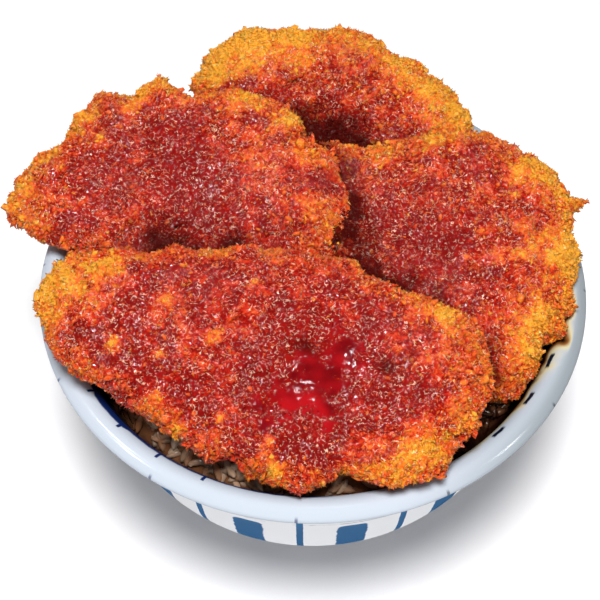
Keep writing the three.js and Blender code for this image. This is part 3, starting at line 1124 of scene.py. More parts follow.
@dataclass(frozen=True)
class DonburiBowl:
    """The bowl: a turned wall with a rounded lip on a foot ring, in millimetres.

    The points of the lip's curve are given by how far in from the rim and how far down they are. A pull
    is the control point that a curve bends towards.
    """

    node: str = "bowl"
    lip_width: float = 8.0
    lip_depth: float = 7.0
    lip_low: tuple[float, float] = (0.8, 3.4)
    lip_pull: tuple[float, float] = (-0.8, 2.0)
    lip_high: tuple[float, float] = (1.2, 0.9)
    crest_pull: tuple[float, float] = (2.4, 0.0)
    neck_flare: float = 0.5
    neck_depth: float = 4.6
    wall: float = 4.5
    slimmer: float = 1.9
    belly: float = 9.1
    belly_height: float = 43.8
    belly_foot: float = 4.7
    throat_set: float = 1.5
    throat_depth: float = 6.0
    throat_round: float = 0.6
    throat_height: float = 45.0
    hollow_width: float = 14.0
    hollow_height: float = 6.0
    floor_set: float = 2.0
    floor_rise: float = 1.0
    floor_height: float = 10.0
    foot_radius: float = 32.0
    foot_width: float = 4.0
    foot_height: float = 8.0
    foot_recess: float = 5.0
    foot_round: float = 0.8
    foot_flare: float = 1.0
    facets: int = 192
    weld: float = 0.02
    inward: float = 0.25
    inside_from: float = 9.0

    def _outside(self, rim: float, top: float) -> list[tuple[float, float]]:
        """The outside of the section.

        Args:
            rim: The radius of the lip.
            top: The height of the bowl.

        Returns:
            Its points, from the foot's recess to the crest of the lip.
        """
        neck = rim - self.lip_width + self.wall - self.slimmer
        foot, soft = self.foot_radius, self.foot_round
        inner_foot = foot - self.foot_width
        points = [(0.0, self.foot_recess), (inner_foot - self.foot_flare, self.foot_recess)]
        points += [(inner_foot, 0.0), (foot - soft, 0.0), (foot, soft)]
        waist = neck - self.belly
        shoulder, under_lip = (foot + self.foot_flare, self.foot_height), (neck, top - self.lip_depth)
        hips = (waist, self.foot_height + self.belly_foot), (waist, self.belly_height)
        points += bezier([shoulder, *hips, under_lip], 26)
        corners = (self.lip_low, self.lip_pull, self.lip_high, self.crest_pull)
        low, pull, high, crest_pull = ((rim - inward, top - down) for inward, down in corners)
        points += bezier([under_lip, (neck + self.neck_flare, top - self.neck_depth), low], 7)[1:]
        points += bezier([low, pull, high], 7)[1:]
        return points + bezier([high, crest_pull, (rim - self.lip_width / 2, top)], 4)[1:]

    def _inside(self, rim: float, top: float) -> list[tuple[float, float]]:
        """The inside of the section.

        Args:
            rim: The radius of the lip.
            top: The height of the bowl.

        Returns:
            Its points, from below the crest of the lip to the middle of the floor.
        """
        throat = rim - self.lip_width - self.throat_set
        low_throat = (throat, top - self.throat_depth)
        crest = (rim - self.lip_width / 2, top)
        points = bezier([crest, (throat + self.throat_set, top - self.throat_round), low_throat], 8)[1:]
        wall = (throat - self.throat_set, self.throat_height)
        hollow = (throat - self.hollow_width, self.floor_height + self.hollow_height)
        floor = (self.foot_radius - self.floor_set, self.floor_height + self.floor_rise)
        points += bezier([low_throat, wall, hollow, floor], 22)[1:]
        return [*points, (0.0, self.floor_height)]

    def mesh(self) -> bpy.types.Mesh:
        """Turns the section into the bowl.

        Returns:
            Its mesh, which carries whether each point is on the inside.
        """
        axis = bowl_axis()
        low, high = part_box(self.node)
        rim, top = (high.y - low.y) / 2 / MM, high.z / MM
        profile = self._outside(rim, top) + self._inside(rim, top)
        shape = bmesh.new()
        ring = [shape.verts.new((axis.x + r * MM, axis.y, z * MM)) for r, z in profile]
        edges = [shape.edges.new(pair) for pair in zip(ring, ring[1:])]
        bmesh.ops.spin(
            shape,
            geom=ring + edges,
            cent=axis,
            axis=(0, 0, 1),
            angle=2 * math.pi,
            steps=self.facets,
            use_merge=True,
        )
        bmesh.ops.remove_doubles(shape, verts=shape.verts, dist=self.weld * MM)
        bmesh.ops.recalc_face_normals(shape, faces=shape.faces)
        mesh = bpy.data.meshes.new(self.node)
        shape.to_mesh(mesh)
        shape.free()
        places = points_of(mesh)
        outward = places - np.array(axis)
        outward[:, 2] = 0
        reach = np.maximum(np.linalg.norm(outward, axis=1), MM)
        facing = (normals_of(mesh) * outward).sum(axis=1) / reach
        carry(mesh, inside=(facing < self.inward) * (places[:, 2] > self.inside_from * MM))
        return mesh

    def build(self) -> None:
        """Makes the bowl and dresses it."""
        ride(new_piece("donburi_bowl", self.mesh(), StripedPorcelain().material()), "porcelain", self.node)


# The rice


@dataclass(frozen=True)
class RiceBed:
    """Rice heaped in the bowl: a core with the cutlets bedded in it, and loose grains on top.

    Sizes and ranges are in millimetres. A range is where a change goes from nothing to all of it.
    """

    node: str = "rice"
    grain_length: float = 5.8
    grain_width: float = 2.4
    flatness: float = 0.9
    taper: float = 0.3
    bend: float = 0.35
    grains: int = 2200
    voxel: float = 1.4
    softening: int = 6
    bump_grain: float = 3.0
    bump_depth: float = 0.7
    sink: float = 0.5
    steepest: float = 0.25
    lowest: float = 62.0
    shore: float = 64.5
    # the rice is drawn darker at the sides: tare, and painted shade in the deep gaps under the cutlets
    right_soak_and_shade: tuple[float, float] = (15.0, 45.0)
    left_soak_and_shade: tuple[float, float] = (36.0, 50.0)
    behind: tuple[float, float] = (-10.0, 30.0)
    core_soak: float = 0.7
    core_soak_and_shade_gain: float = 0.3
    stain: float = 0.42
    stain_spread: float = 0.1
    side_stain_and_shade: float = 0.6
    behind_loss: float = 0.6
    # paler at the back: less stain, and painted light on rice that lies in shade
    behind_less_stain_and_light: float = 0.14
    tilt: float = 0.25
    lift: tuple[float, float] = (0.1, 1.0)
    scale: tuple[float, float] = (0.85, 1.12)
    seed: int = 5

    def core(self) -> bpy.types.Mesh:
        """The heap under the grains, with bumps of their size and more tare on the right, which is drawn
        darker there also as painted shade.

        Returns:
            Its mesh.
        """
        mesh = remeshed(merged_copy(self.node), self.voxel, self.softening)
        places, normals = points_of(mesh), normals_of(mesh)
        bumps = np.array([noise.noise(Vector(p) / (self.bump_grain * MM)) for p in places])
        sink = (self.sink + self.bump_depth * bumps) * np.clip(normals[:, 2], 0, 1)
        places -= normals * (sink * MM)[:, None]
        mesh.vertices.foreach_set("co", places.ravel())
        # darker to the right: tare, and painted shade in the deep gap there
        right = smoothstep(places[:, 0] / MM, *self.right_soak_and_shade)
        carry(mesh, soak=self.core_soak + self.core_soak_and_shade_gain * right)
        return mesh

    def grain(self) -> Shape:
        """One grain, lying along its own X, a little bent.

        Returns:
            Its shape, in metres.
        """
        shape = bmesh.new()
        bmesh.ops.create_uvsphere(shape, u_segments=6, v_segments=6, radius=0.5)
        for v in shape.verts:
            along, across, up = v.co.z, v.co.x, v.co.y
            taper = 1 - self.taper * (2 * along) ** 4
            v.co = (
                along * self.grain_length * MM,
                (across * taper + self.bend * along**2) * self.grain_width * MM,
                up * taper * self.grain_width * MM * self.flatness,
            )
        return small_shape(shape)

    def _sites(self, core: bpy.types.Mesh, rng: np.random.Generator) -> tuple[np.ndarray, np.ndarray]:
        """Where grains lie: on the parts of the core that face up.

        Args:
            core: The heap.
            rng: The source of random numbers.

        Returns:
            The places and the normals there.
        """
        corners, area = triangles_of(core)
        middle = points_of(core)[corners].mean(axis=1)
        up = normals_of(core)[corners].mean(axis=1)
        weight = area * (up[:, 2] > self.steepest) * (middle[:, 2] > self.lowest * MM)
        chosen = rng.choice(len(corners), self.grains, p=weight / weight.sum())
        return middle[chosen], unit(up[chosen])

    def _ashore(self, sites: np.ndarray) -> np.ndarray:
        """The same places, with those too near the wall drawn back from it.

        Args:
            sites: The places.

        Returns:
            The new places.
        """
        out = sites - np.array(bowl_axis())
        reach = np.hypot(*out[:, :2].T)
        pull = np.clip(reach - self.shore * MM, 0, None) / np.maximum(reach, 1e-6)
        return sites - out * pull[:, None] * np.array([1, 1, 0])

    def _soaked(self, sites: np.ndarray, rng: np.random.Generator) -> np.ndarray:
        """How stained each grain is: most at both sides of the bowl, where painted shade darkens it too, and
        least at the back, where it is drawn paler also as painted light.

        Args:
            sites: The places of the grains.
            rng: The source of random numbers.

        Returns:
            The stain, from 0 to 1.
        """
        x, y = sites[:, 0] / MM, sites[:, 1] / MM
        sides = np.maximum(smoothstep(x, *self.right_soak_and_shade), smoothstep(-x, *self.left_soak_and_shade))
        behind = smoothstep(y, *self.behind)
        stain = rng.normal(self.stain, self.stain_spread, len(sites))
        # darker at both sides: tare, and painted shade; paler at the back: less stain, and painted light
        stain += self.side_stain_and_shade * sides * (1 - self.behind_loss * behind)
        return np.clip(stain - self.behind_less_stain_and_light * behind, 0, 1)

    def build(self) -> None:
        """Makes the core and the grains and dresses them."""
        rng = np.random.default_rng(self.seed)
        finish = TareRice().material()
        core = new_piece("rice_core", self.core(), finish)
        ride(core, "rice", self.node)
        sites, up = self._sites(core.data, rng)
        turns = facing_turns(up, np.abs(rng.normal(0, self.tilt, len(sites))), rng)
        sites = self._ashore(sites)
        lift = up * rng.uniform(*self.lift, (len(sites), 1)) * MM
        turns *= rng.uniform(*self.scale, (len(sites), 1, 1))
        picks = np.zeros(len(sites), int)
        mesh, owner, _ = joined("rice_grains", [self.grain()], picks, turns, sites + lift)
        carry(mesh, soak=self._soaked(sites, rng)[owner])
        ride(new_piece("rice_grains", mesh, finish), "rice")


# The cutlets


class Change(NamedTuple):
    """What a patch changes on a crust: its soak, its wetness, its painted shade, and its height in
    millimetres.
    """

    soak: float = 0.0
    wet: float = 0.0
    shade: float = 0.0
    height: float = 0.0


class StainAndShade(Enum):
    """What a patch of crust is like: its tare and dryness, or painted shade laid on it or taken off."""

    DRY = Change(soak=-0.56)
    WARM = Change(soak=-0.3)
    CRUMB = Change(soak=-0.66, height=0.7)
    SOAKED = Change(soak=0.4)
    # painted shade: LIT takes it away, and the next one lays it on, with a little more soak
    LIT = Change(shade=-1.0)
    DARK = Change(soak=0.25, shade=0.8)
    POOL = Change(soak=0.25, wet=1.0, height=-0.2)


@dataclass(frozen=True)
class Spot:
    """A round spot on a slice, by its place and its reach in millimetres."""

    x: float
    y: float
    reach: float

    def squared(self, local: np.ndarray) -> np.ndarray:
        """The squares of how many reaches each place is from the middle of the spot."""
        return ((local[:, 0] - self.x) ** 2 + (local[:, 1] - self.y) ** 2) / self.reach**2


@dataclass(frozen=True)
class Patch(Spot):
    """A patch of crust with a stain, or with painted shade laid on it or taken off."""

    stain: StainAndShade

    def share(self, local: np.ndarray, fray: np.ndarray) -> np.ndarray:
        """How strongly the patch holds at each place, from 0 to 1.

        Args:
            local: The places, in the slice's own frame and in millimetres.
            fray: What the distance at each place is multiplied by, for an uneven edge.

        Returns:
            The share at each place.
        """
        return np.exp(-self.squared(local) * fray)


@dataclass(frozen=True)
class Bay(Spot):
    """A bay or a lobe in a slice's outline, and how far it moves the edge out in millimetres."""

    push: float

    def shift(self, local: np.ndarray) -> np.ndarray:
        """How far each place moves outward, in millimetres."""
        return self.push * np.exp(-self.squared(local))


def patches_of(stain: StainAndShade, *spots: tuple[float, float, float]) -> tuple[Patch, ...]:
    """Patches of one stain or painted shade, each from its place and its reach."""
    return tuple(Patch(*spot, stain) for spot in spots)


def bays_at(*shapes: tuple[float, float, float, float]) -> tuple[Bay, ...]:
    """Bays and lobes, each from its place, its reach and its push."""
    return tuple(Bay(*shape) for shape in shapes)


@dataclass(frozen=True)
class CrumbKind:
    """One kind of crumb that sticks to a crust, in millimetres from its middle to its tip.

    An edge is the range over which something sets in, and what a rim or the liquid changes is a share.
    """

    name: str
    size: float
    largest: float
    sides: int
    rings: int
    tilt: float
    lift: float
    rim_gain: float
    dryness: float
    spread: float = 0.3
    breadth: tuple[float, float] = (0.4, 0.8)
    thickness: tuple[float, float] = (0.3, 0.55)
    unevenness: tuple[float, float] = (0.6, 1.3)
    sway: float = 0.3
    curl: float = 0.35
    spikes: int = 0
    spike_length: tuple[float, float] = (0.5, 1.0)
    spike_lean: tuple[float, float] = (0.1, 1.35)
    upward_edge: tuple[float, float] = (-0.6, 0.1)
    least_below: float = 0.2
    wet_loss: float = 0.94
    most_contact: float = 0.8
    rim_growth: float = 0.3
    rim_lean: float = 0.3
    dryness_spread: float = 0.15
    pale_share: float = 0.08
    pale_dryness: float = 0.35
    rim_keeps: float = 0.5
    # each crumb is drawn paler at its tip, drier there and as painted light, and redder at its root as
    # painted shade
    tip_dryness_and_light: float = 0.12
    root_shade: float = 0.4
    root_edge: tuple[float, float] = (-0.4, 1.0)

    def _tuft(self, rng: np.random.Generator) -> Shape:
        """A tuft of thin spikes that stand out of one point.

        Args:
            rng: The source of random numbers.

        Returns:
            The tuft.
        """
        shape = bmesh.new()
        for _ in range(self.spikes):
            length = rng.uniform(*self.spike_length)
            lean = Matrix.Rotation(rng.uniform(*self.spike_lean), 4, "X")
            turn = Matrix.Rotation(rng.uniform(0, 2 * math.pi), 4, "Z")
            bmesh.ops.create_cone(
                shape,
                cap_ends=True,
                segments=self.sides,
                radius1=rng.uniform(*self.breadth) / 2,
                radius2=0.0,
                depth=length,
                matrix=turn @ lean @ Matrix.Translation((0, 0, length / 2)),
            )
        return small_shape(shape)

    def _lump(self, rng: np.random.Generator) -> Shape:
        """A lump that is flatter than long, uneven and a little bent.

        Args:
            rng: The source of random numbers.

        Returns:
            The lump.
        """
        shape = bmesh.new()
        bmesh.ops.create_uvsphere(shape, u_segments=self.sides, v_segments=self.rings, radius=1.0)
        corners, triangles = small_shape(shape)
        corners *= rng.uniform(*self.unevenness, (len(corners), 1))
        corners *= np.array([1.0, rng.uniform(*self.breadth), rng.uniform(*self.thickness)])
        corners[:, 1] += rng.uniform(-self.sway, self.sway) * corners[:, 0] ** 2
        corners[:, 2] += rng.uniform(-self.curl, self.curl) * corners[:, 0] ** 2
        return corners, triangles

    def shapes(self, rng: np.random.Generator, kinds: int = 8) -> list[Shape]:
        """A few crumbs of this kind, no two of them alike."""
        return [self._tuft(rng) if self.spikes else self._lump(rng) for _ in range(kinds)]


SHARDS = CrumbKind(
    "shards", size=0.32, largest=0.7, sides=4, rings=2, tilt=0.6, lift=0.2, rim_gain=0.8, dryness=0.04
)
FLAKES = CrumbKind(
    "flakes",
    size=0.75,
    largest=1.8,
    sides=5,
    rings=3,
    tilt=0.7,
    lift=0.15,
    rim_gain=4.0,
    dryness=0.1,
    spread=0.35,
)
FIBRES = CrumbKind(
    "fibres",
    size=0.8,
    largest=1.7,
    sides=4,
    rings=4,
    tilt=0.35,
    lift=0.1,
    rim_gain=1.5,
    dryness=0.12,
    breadth=(0.14, 0.26),
    thickness=(0.12, 0.22),
)
TUFTS = CrumbKind(
    "tufts",
    size=0.95,
    largest=1.9,
    sides=3,
    rings=1,
    tilt=0.4,
    lift=-0.1,
    rim_gain=9.0,
    dryness=0.08,
    breadth=(0.4, 0.7),
    spikes=6,
)


@dataclass(frozen=True)
class Cutlet:
    """One slice in its crust, in millimetres and degrees, measured from the bowl's axis at floor level."""

    node: str
    middle: tuple[float, float, float]
    heading: float
    lean: float
    roll: float
    seed: int
    patches: tuple[Patch, ...]
    bays: tuple[Bay, ...]
    base_soak: float = 0.84
    soak_clouds: tuple[Cloud, ...] = (Cloud(12, 0.24, 0), Cloud(4, 0.12, 1))
    rim_start: float = 0.72
    rim_dryness: float = 0.28
    rim_cloud: Cloud = Cloud(7, 0.26, 5)
    heap_cloud: Cloud = Cloud(5, 1.0, 2)
    # the tops of the lumps drawn paler: tare runs off them, and painted light
    heap_dryness_and_light: float = 0.05
    contact_reach: float = 6.5
    # more soak and painted shade near a slice that lies close above
    contact_soak_and_shade: float = 0.4
    shade: float = 0.85
    shade_reach: tuple[float, float] = (0.5, 7.5)
    under_soak: float = 0.5
    under_edge: tuple[float, float] = (0.0, 0.6)
    fray_cloud: Cloud = Cloud(3, 0.9, 12)
    island_clouds: tuple[Cloud, ...] = (Cloud(4, 0.26, 9), Cloud(1.6, 0.36, 7))
    wet_edge: tuple[float, float] = (0.34, 0.84)
    ragged_clouds: tuple[Cloud, ...] = (Cloud(5.5, 1.2, 3), Cloud(2.4, 0.7, 6))
    ragged_trim: float = 0.3
    ragged_edge: tuple[float, float] = (0.5, 1.0)
    voxel: float = 0.5
    softening: int = 8
    coarse_grain: float = 1.9
    coarse_gain: float = 0.65
    fine_grain: float = 0.95
    fine_gain: float = 0.4
    heap_gain: float = 0.6
    sink: float = 0.55
    middle_depth: float = 0.75
    rim_depth: float = 0.6
    wet_loss: float = 0.85
    bedded_edge: tuple[float, float] = (0.7, 1.0)
    hollow_edge: tuple[float, float] = (-0.2, 0.35)
    shards: int = 13000
    flakes: int = 1100
    fibres: int = 1600
    tufts: int = 1850

    def _placing(self) -> Matrix:
        """The placing of the slice in the bowl.

        Returns:
            What takes the slice's own frame to the bowl's, in metres.
        """
        shift = Matrix.Translation(bowl_axis() + Vector(self.middle) * MM)
        lean = Matrix.Rotation(math.radians(self.lean), 4, "X")
        roll = Matrix.Rotation(math.radians(-self.roll), 4, "Y")
        turn = Matrix.Rotation(math.radians(self.heading), 4, "Z")
        return shift @ lean @ roll @ turn

    def _local(self, places: np.ndarray) -> np.ndarray:
        """Places in the slice's own frame, in millimetres."""
        back = np.array(self._placing().inverted())
        return (places @ back[:3, :3].T + back[:3, 3]) / MM

    def _upward(self, directions: np.ndarray) -> np.ndarray:
        """How far each direction points out of the top of the slice, from -1 to 1."""
        return directions @ np.array(self._placing())[:3, 2]

    def _outline_share(self, local: np.ndarray, bearings: int = 96) -> np.ndarray:
        """How far out each place lies on the slice.

        Args:
            local: The places, in the slice's own frame and in millimetres.
            bearings: How many directions the outline is measured in.

        Returns:
            The share at each place, from 0 in the middle to 1 on the outline.
        """
        bearing = (np.arctan2(local[:, 1], local[:, 0]) / (2 * math.pi)) % 1.0 * bearings
        radius = np.hypot(local[:, 0], local[:, 1])
        reach = np.zeros(bearings)
        np.maximum.at(reach, bearing.astype(int) % bearings, radius)
        around = np.concatenate([reach[-1:], reach, reach[:1]])
        return radius / np.interp(bearing, np.arange(-1, bearings + 1) + 0.5, around)

    @staticmethod
    def _gap(places: np.ndarray, above: Sequence[str], reach: float = 11.0) -> np.ndarray:
        """How far each place is from the slices that lie over this one.

        Args:
            places: The places.
            above: The CAD nodes of those slices.
            reach: The farthest that is looked, in millimetres.

        Returns:
            The distances, in millimetres and up to the reach.
        """
        gap = np.full(len(places), reach)
        for node in above:
            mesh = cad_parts[node].data
            tree = BVHTree.FromPolygons([v.co for v in mesh.vertices], triangles_of(mesh)[0].tolist())
            for i, place in enumerate(places.tolist()):
                distance = tree.find_nearest(place, reach * MM)[3]
                if distance is not None:
                    gap[i] = min(gap[i], distance / MM)
        return gap

    def _reshape(self, places: np.ndarray, local: np.ndarray, share: np.ndarray) -> np.ndarray:
        """Makes the bays and lobes of the outline.

        Args:
            places: The crust's points.
            local: The same points in the slice's own frame, in millimetres.
            share: How far out each of them lies.

        Returns:
            The moved points.
        """
        push = sum((bay.shift(local) for bay in self.bays), np.zeros(len(local)))
        edge = smoothstep(share, *self.ragged_edge)
        push += edge * (clouds(places, self.seed, *self.ragged_clouds) - self.ragged_trim)
        outward = local[:, :2] / np.maximum(np.hypot(local[:, 0], local[:, 1]), 1e-6)[:, None]
        turn = np.array(self._placing())[:3, :2]
        return places + (outward @ turn.T) * (push * edge * MM)[:, None]

    def _stained_and_shaded(
        self, places: np.ndarray, local: np.ndarray, soak: np.ndarray, shade: np.ndarray
    ) -> tuple[np.ndarray, np.ndarray, np.ndarray, np.ndarray]:
        """Lays the patches of stain and painted shade on the crust.

        Args:
            places: The crust's points.
            local: The same points in the slice's own frame, in millimetres.
            soak: How much tare each of them has taken up.
            shade: How much painted shade it has.

        Returns:
            The new soak and painted shade, how wet each point is, and how far it rises in millimetres.
        """
        fray = np.exp(clouds(places, self.seed, self.fray_cloud))
        wet, rise = np.zeros(len(places)), np.zeros(len(places))
        for patch in self.patches:
            change = patch.stain.value
            spot = patch.share(local, fray)
            soak = soak + change.soak * spot
            wet = np.maximum(wet, change.wet * spot)
            shade = np.clip(shade + change.shade * spot, 0, 1)
            rise = rise + change.height * spot
        islands = clouds(places, self.seed, *self.island_clouds)
        return soak, shade, smoothstep(wet + islands, *self.wet_edge), rise

    @staticmethod
    def _calm(mesh: bpy.types.Mesh, wet: np.ndarray, rounds: int = 24, least: float = 0.4) -> None:
        """Lets the liquid tare settle, so that it lies smooth.

        Args:
            mesh: The crust.
            wet: How wet each of its points is, from 0 to 1.
            rounds: How often the wet points are smoothed.
            least: How wet a point is at least that counts as wet.
        """
        shape = bmesh.new()
        shape.from_mesh(mesh)
        shape.verts.ensure_lookup_table()
        liquid = [shape.verts[i] for i in np.flatnonzero(wet > least)]
        every_way = {"use_axis_x": True, "use_axis_y": True, "use_axis_z": True}
        for _ in range(rounds if liquid else 0):
            bmesh.ops.smooth_vert(shape, verts=liquid, factor=0.5, **every_way)
        shape.to_mesh(mesh)
        shape.free()

    def crust(self, above: Sequence[str]) -> bpy.types.Mesh:
        """The crust: the CAD slice gone over with packed crumbs, and what its material reads.

        Args:
            above: The CAD nodes of the slices that lie over this one.

        Returns:
            The mesh.
        """
        mesh = remeshed(merged_copy(self.node), self.voxel, self.softening)
        places, normals = points_of(mesh), normals_of(mesh)
        local = self._local(places)
        gap = self._gap(places, above)
        contact = np.clip(1 - gap / self.contact_reach, 0, 1)
        share = self._outline_share(local)
        rim = smoothstep(share, self.rim_start, 1.0) * (1 - contact)
        dry = self.rim_dryness + clouds(places, self.seed, self.rim_cloud)
        heap = clouds(places, self.seed, self.heap_cloud)
        # near the slice above the crust takes more tare and goes darker: tare held between them, and painted
        # shade
        soak = self.base_soak - dry * rim + self.contact_soak_and_shade * contact
        # the tops of the lumps drawn paler: tare runs off them, and painted light
        soak += clouds(places, self.seed, *self.soak_clouds) - self.heap_dryness_and_light * heap
        # painted shade, strongest where another slice lies close above
        shade = self.shade * (1 - smoothstep(gap, *self.shade_reach))
        soak, shade, wet, rise = self._stained_and_shaded(places, local, soak, shade)
        under = smoothstep(-self._upward(normals), *self.under_edge)
        soak = soak * (1 - under) + self.under_soak * under
        coarse = crumbs_at(places, self.coarse_grain, self.seed)
        fine = crumbs_at(places, self.fine_grain, self.seed + 4)
        height = self.coarse_gain * coarse + self.fine_gain * fine - self.sink + self.heap_gain * heap
        depth = (self.middle_depth + self.rim_depth * rim) * (1 - self.wet_loss * wet)
        depth *= 1 - smoothstep(contact, *self.bedded_edge)
        places = self._reshape(places, local, share) + normals * ((depth * height + rise) * MM)[:, None]
        mesh.vertices.foreach_set("co", places.ravel())
        self._calm(mesh, wet)
        hollow = smoothstep(-height, *self.hollow_edge) * (1 - wet)
        carry(mesh, soak=soak, hollow=hollow, wet=wet, shade=shade, rim=rim, contact=contact)
        return mesh

    def loose_crumbs(self, crust: bpy.types.Mesh, kind: CrumbKind, count: int) -> bpy.types.Mesh:
        """Crumbs that stick to the crust, larger and rougher at the rim.

        Args:
            crust: The finished crust.
            kind: What the crumbs are like.
            count: How many there are.

        Returns:
            The mesh of all of them.
        """
        rng = np.random.default_rng(self.seed + kind.sides * kind.rings)
        corners, area = triangles_of(crust)
        places, normals = points_of(crust), normals_of(crust)
        names = ("soak", "wet", "shade", "rim", "contact")
        at = {name: carried(crust, name)[corners].mean(axis=1) for name in names}
        upward = smoothstep(self._upward(normals)[corners].mean(axis=1), *kind.upward_edge)
        weight = area * (kind.least_below + (1 - kind.least_below) * upward)
        weight *= (1 + kind.rim_gain * at["rim"]) * (1 - kind.wet_loss * at["wet"])
        weight *= at["contact"] < kind.most_contact
        chosen = rng.choice(len(corners), count, p=weight / weight.sum())
        at = {name: value[chosen] for name, value in at.items()}
        facing = unit(normals[corners].mean(axis=1)[chosen])
        size = rng.lognormal(math.log(kind.size), kind.spread, count)
        size = np.clip(size, kind.size / 2, kind.largest) * (1 + kind.rim_growth * at["rim"])
        tilt = np.abs(rng.normal(0, kind.tilt, count))
        tilt += kind.rim_lean * at["rim"] * rng.uniform(0, 1, count)
        turns = facing_turns(facing, tilt, rng) * (size * MM)[:, None, None]
        shapes = kind.shapes(rng)
        centres = places[corners].mean(axis=1)[chosen] + facing * (kind.lift * size * MM)[:, None]
        picks = rng.integers(0, len(shapes), count)
        mesh, owner, height = joined(self.node + "_" + kind.name, shapes, picks, turns, centres)
        dry = rng.normal(kind.dryness, kind.dryness_spread, count)
        dry += kind.pale_dryness * (rng.uniform(0, 1, count) < kind.pale_share)
        soak = at["soak"] - dry * (1 - kind.rim_keeps * at["rim"])
        # each crumb is drawn paler at its tip, drier there and as painted light, and redder at its root as
        # painted shade
        tip = kind.tip_dryness_and_light * np.clip(height, 0, 1)
        carry(
            mesh,
            soak=soak[owner] - tip,
            hollow=kind.root_shade * smoothstep(-height, *kind.root_edge),
            wet=np.zeros(len(owner)),
            shade=at["shade"][owner],
        )
        return mesh

    def build(self, above: Sequence[str], finish: bpy.types.Material) -> None:
        """Makes the slice and its crumbs and dresses them.

        Args:
            above: The CAD nodes of the slices that lie over this one.
            finish: The crust's material.
        """
        crust = new_piece(self.node + "_crust", self.crust(above), finish)
        ride(crust, "crust", self.node)
        counts = {SHARDS: self.shards, FLAKES: self.flakes, FIBRES: self.fibres, TUFTS: self.tufts}
        for kind, count in counts.items():
            crumbs = self.loose_crumbs(crust.data, kind, count)
            ride(new_piece(f"{self.node}_{kind.name}", crumbs, finish), "crust")


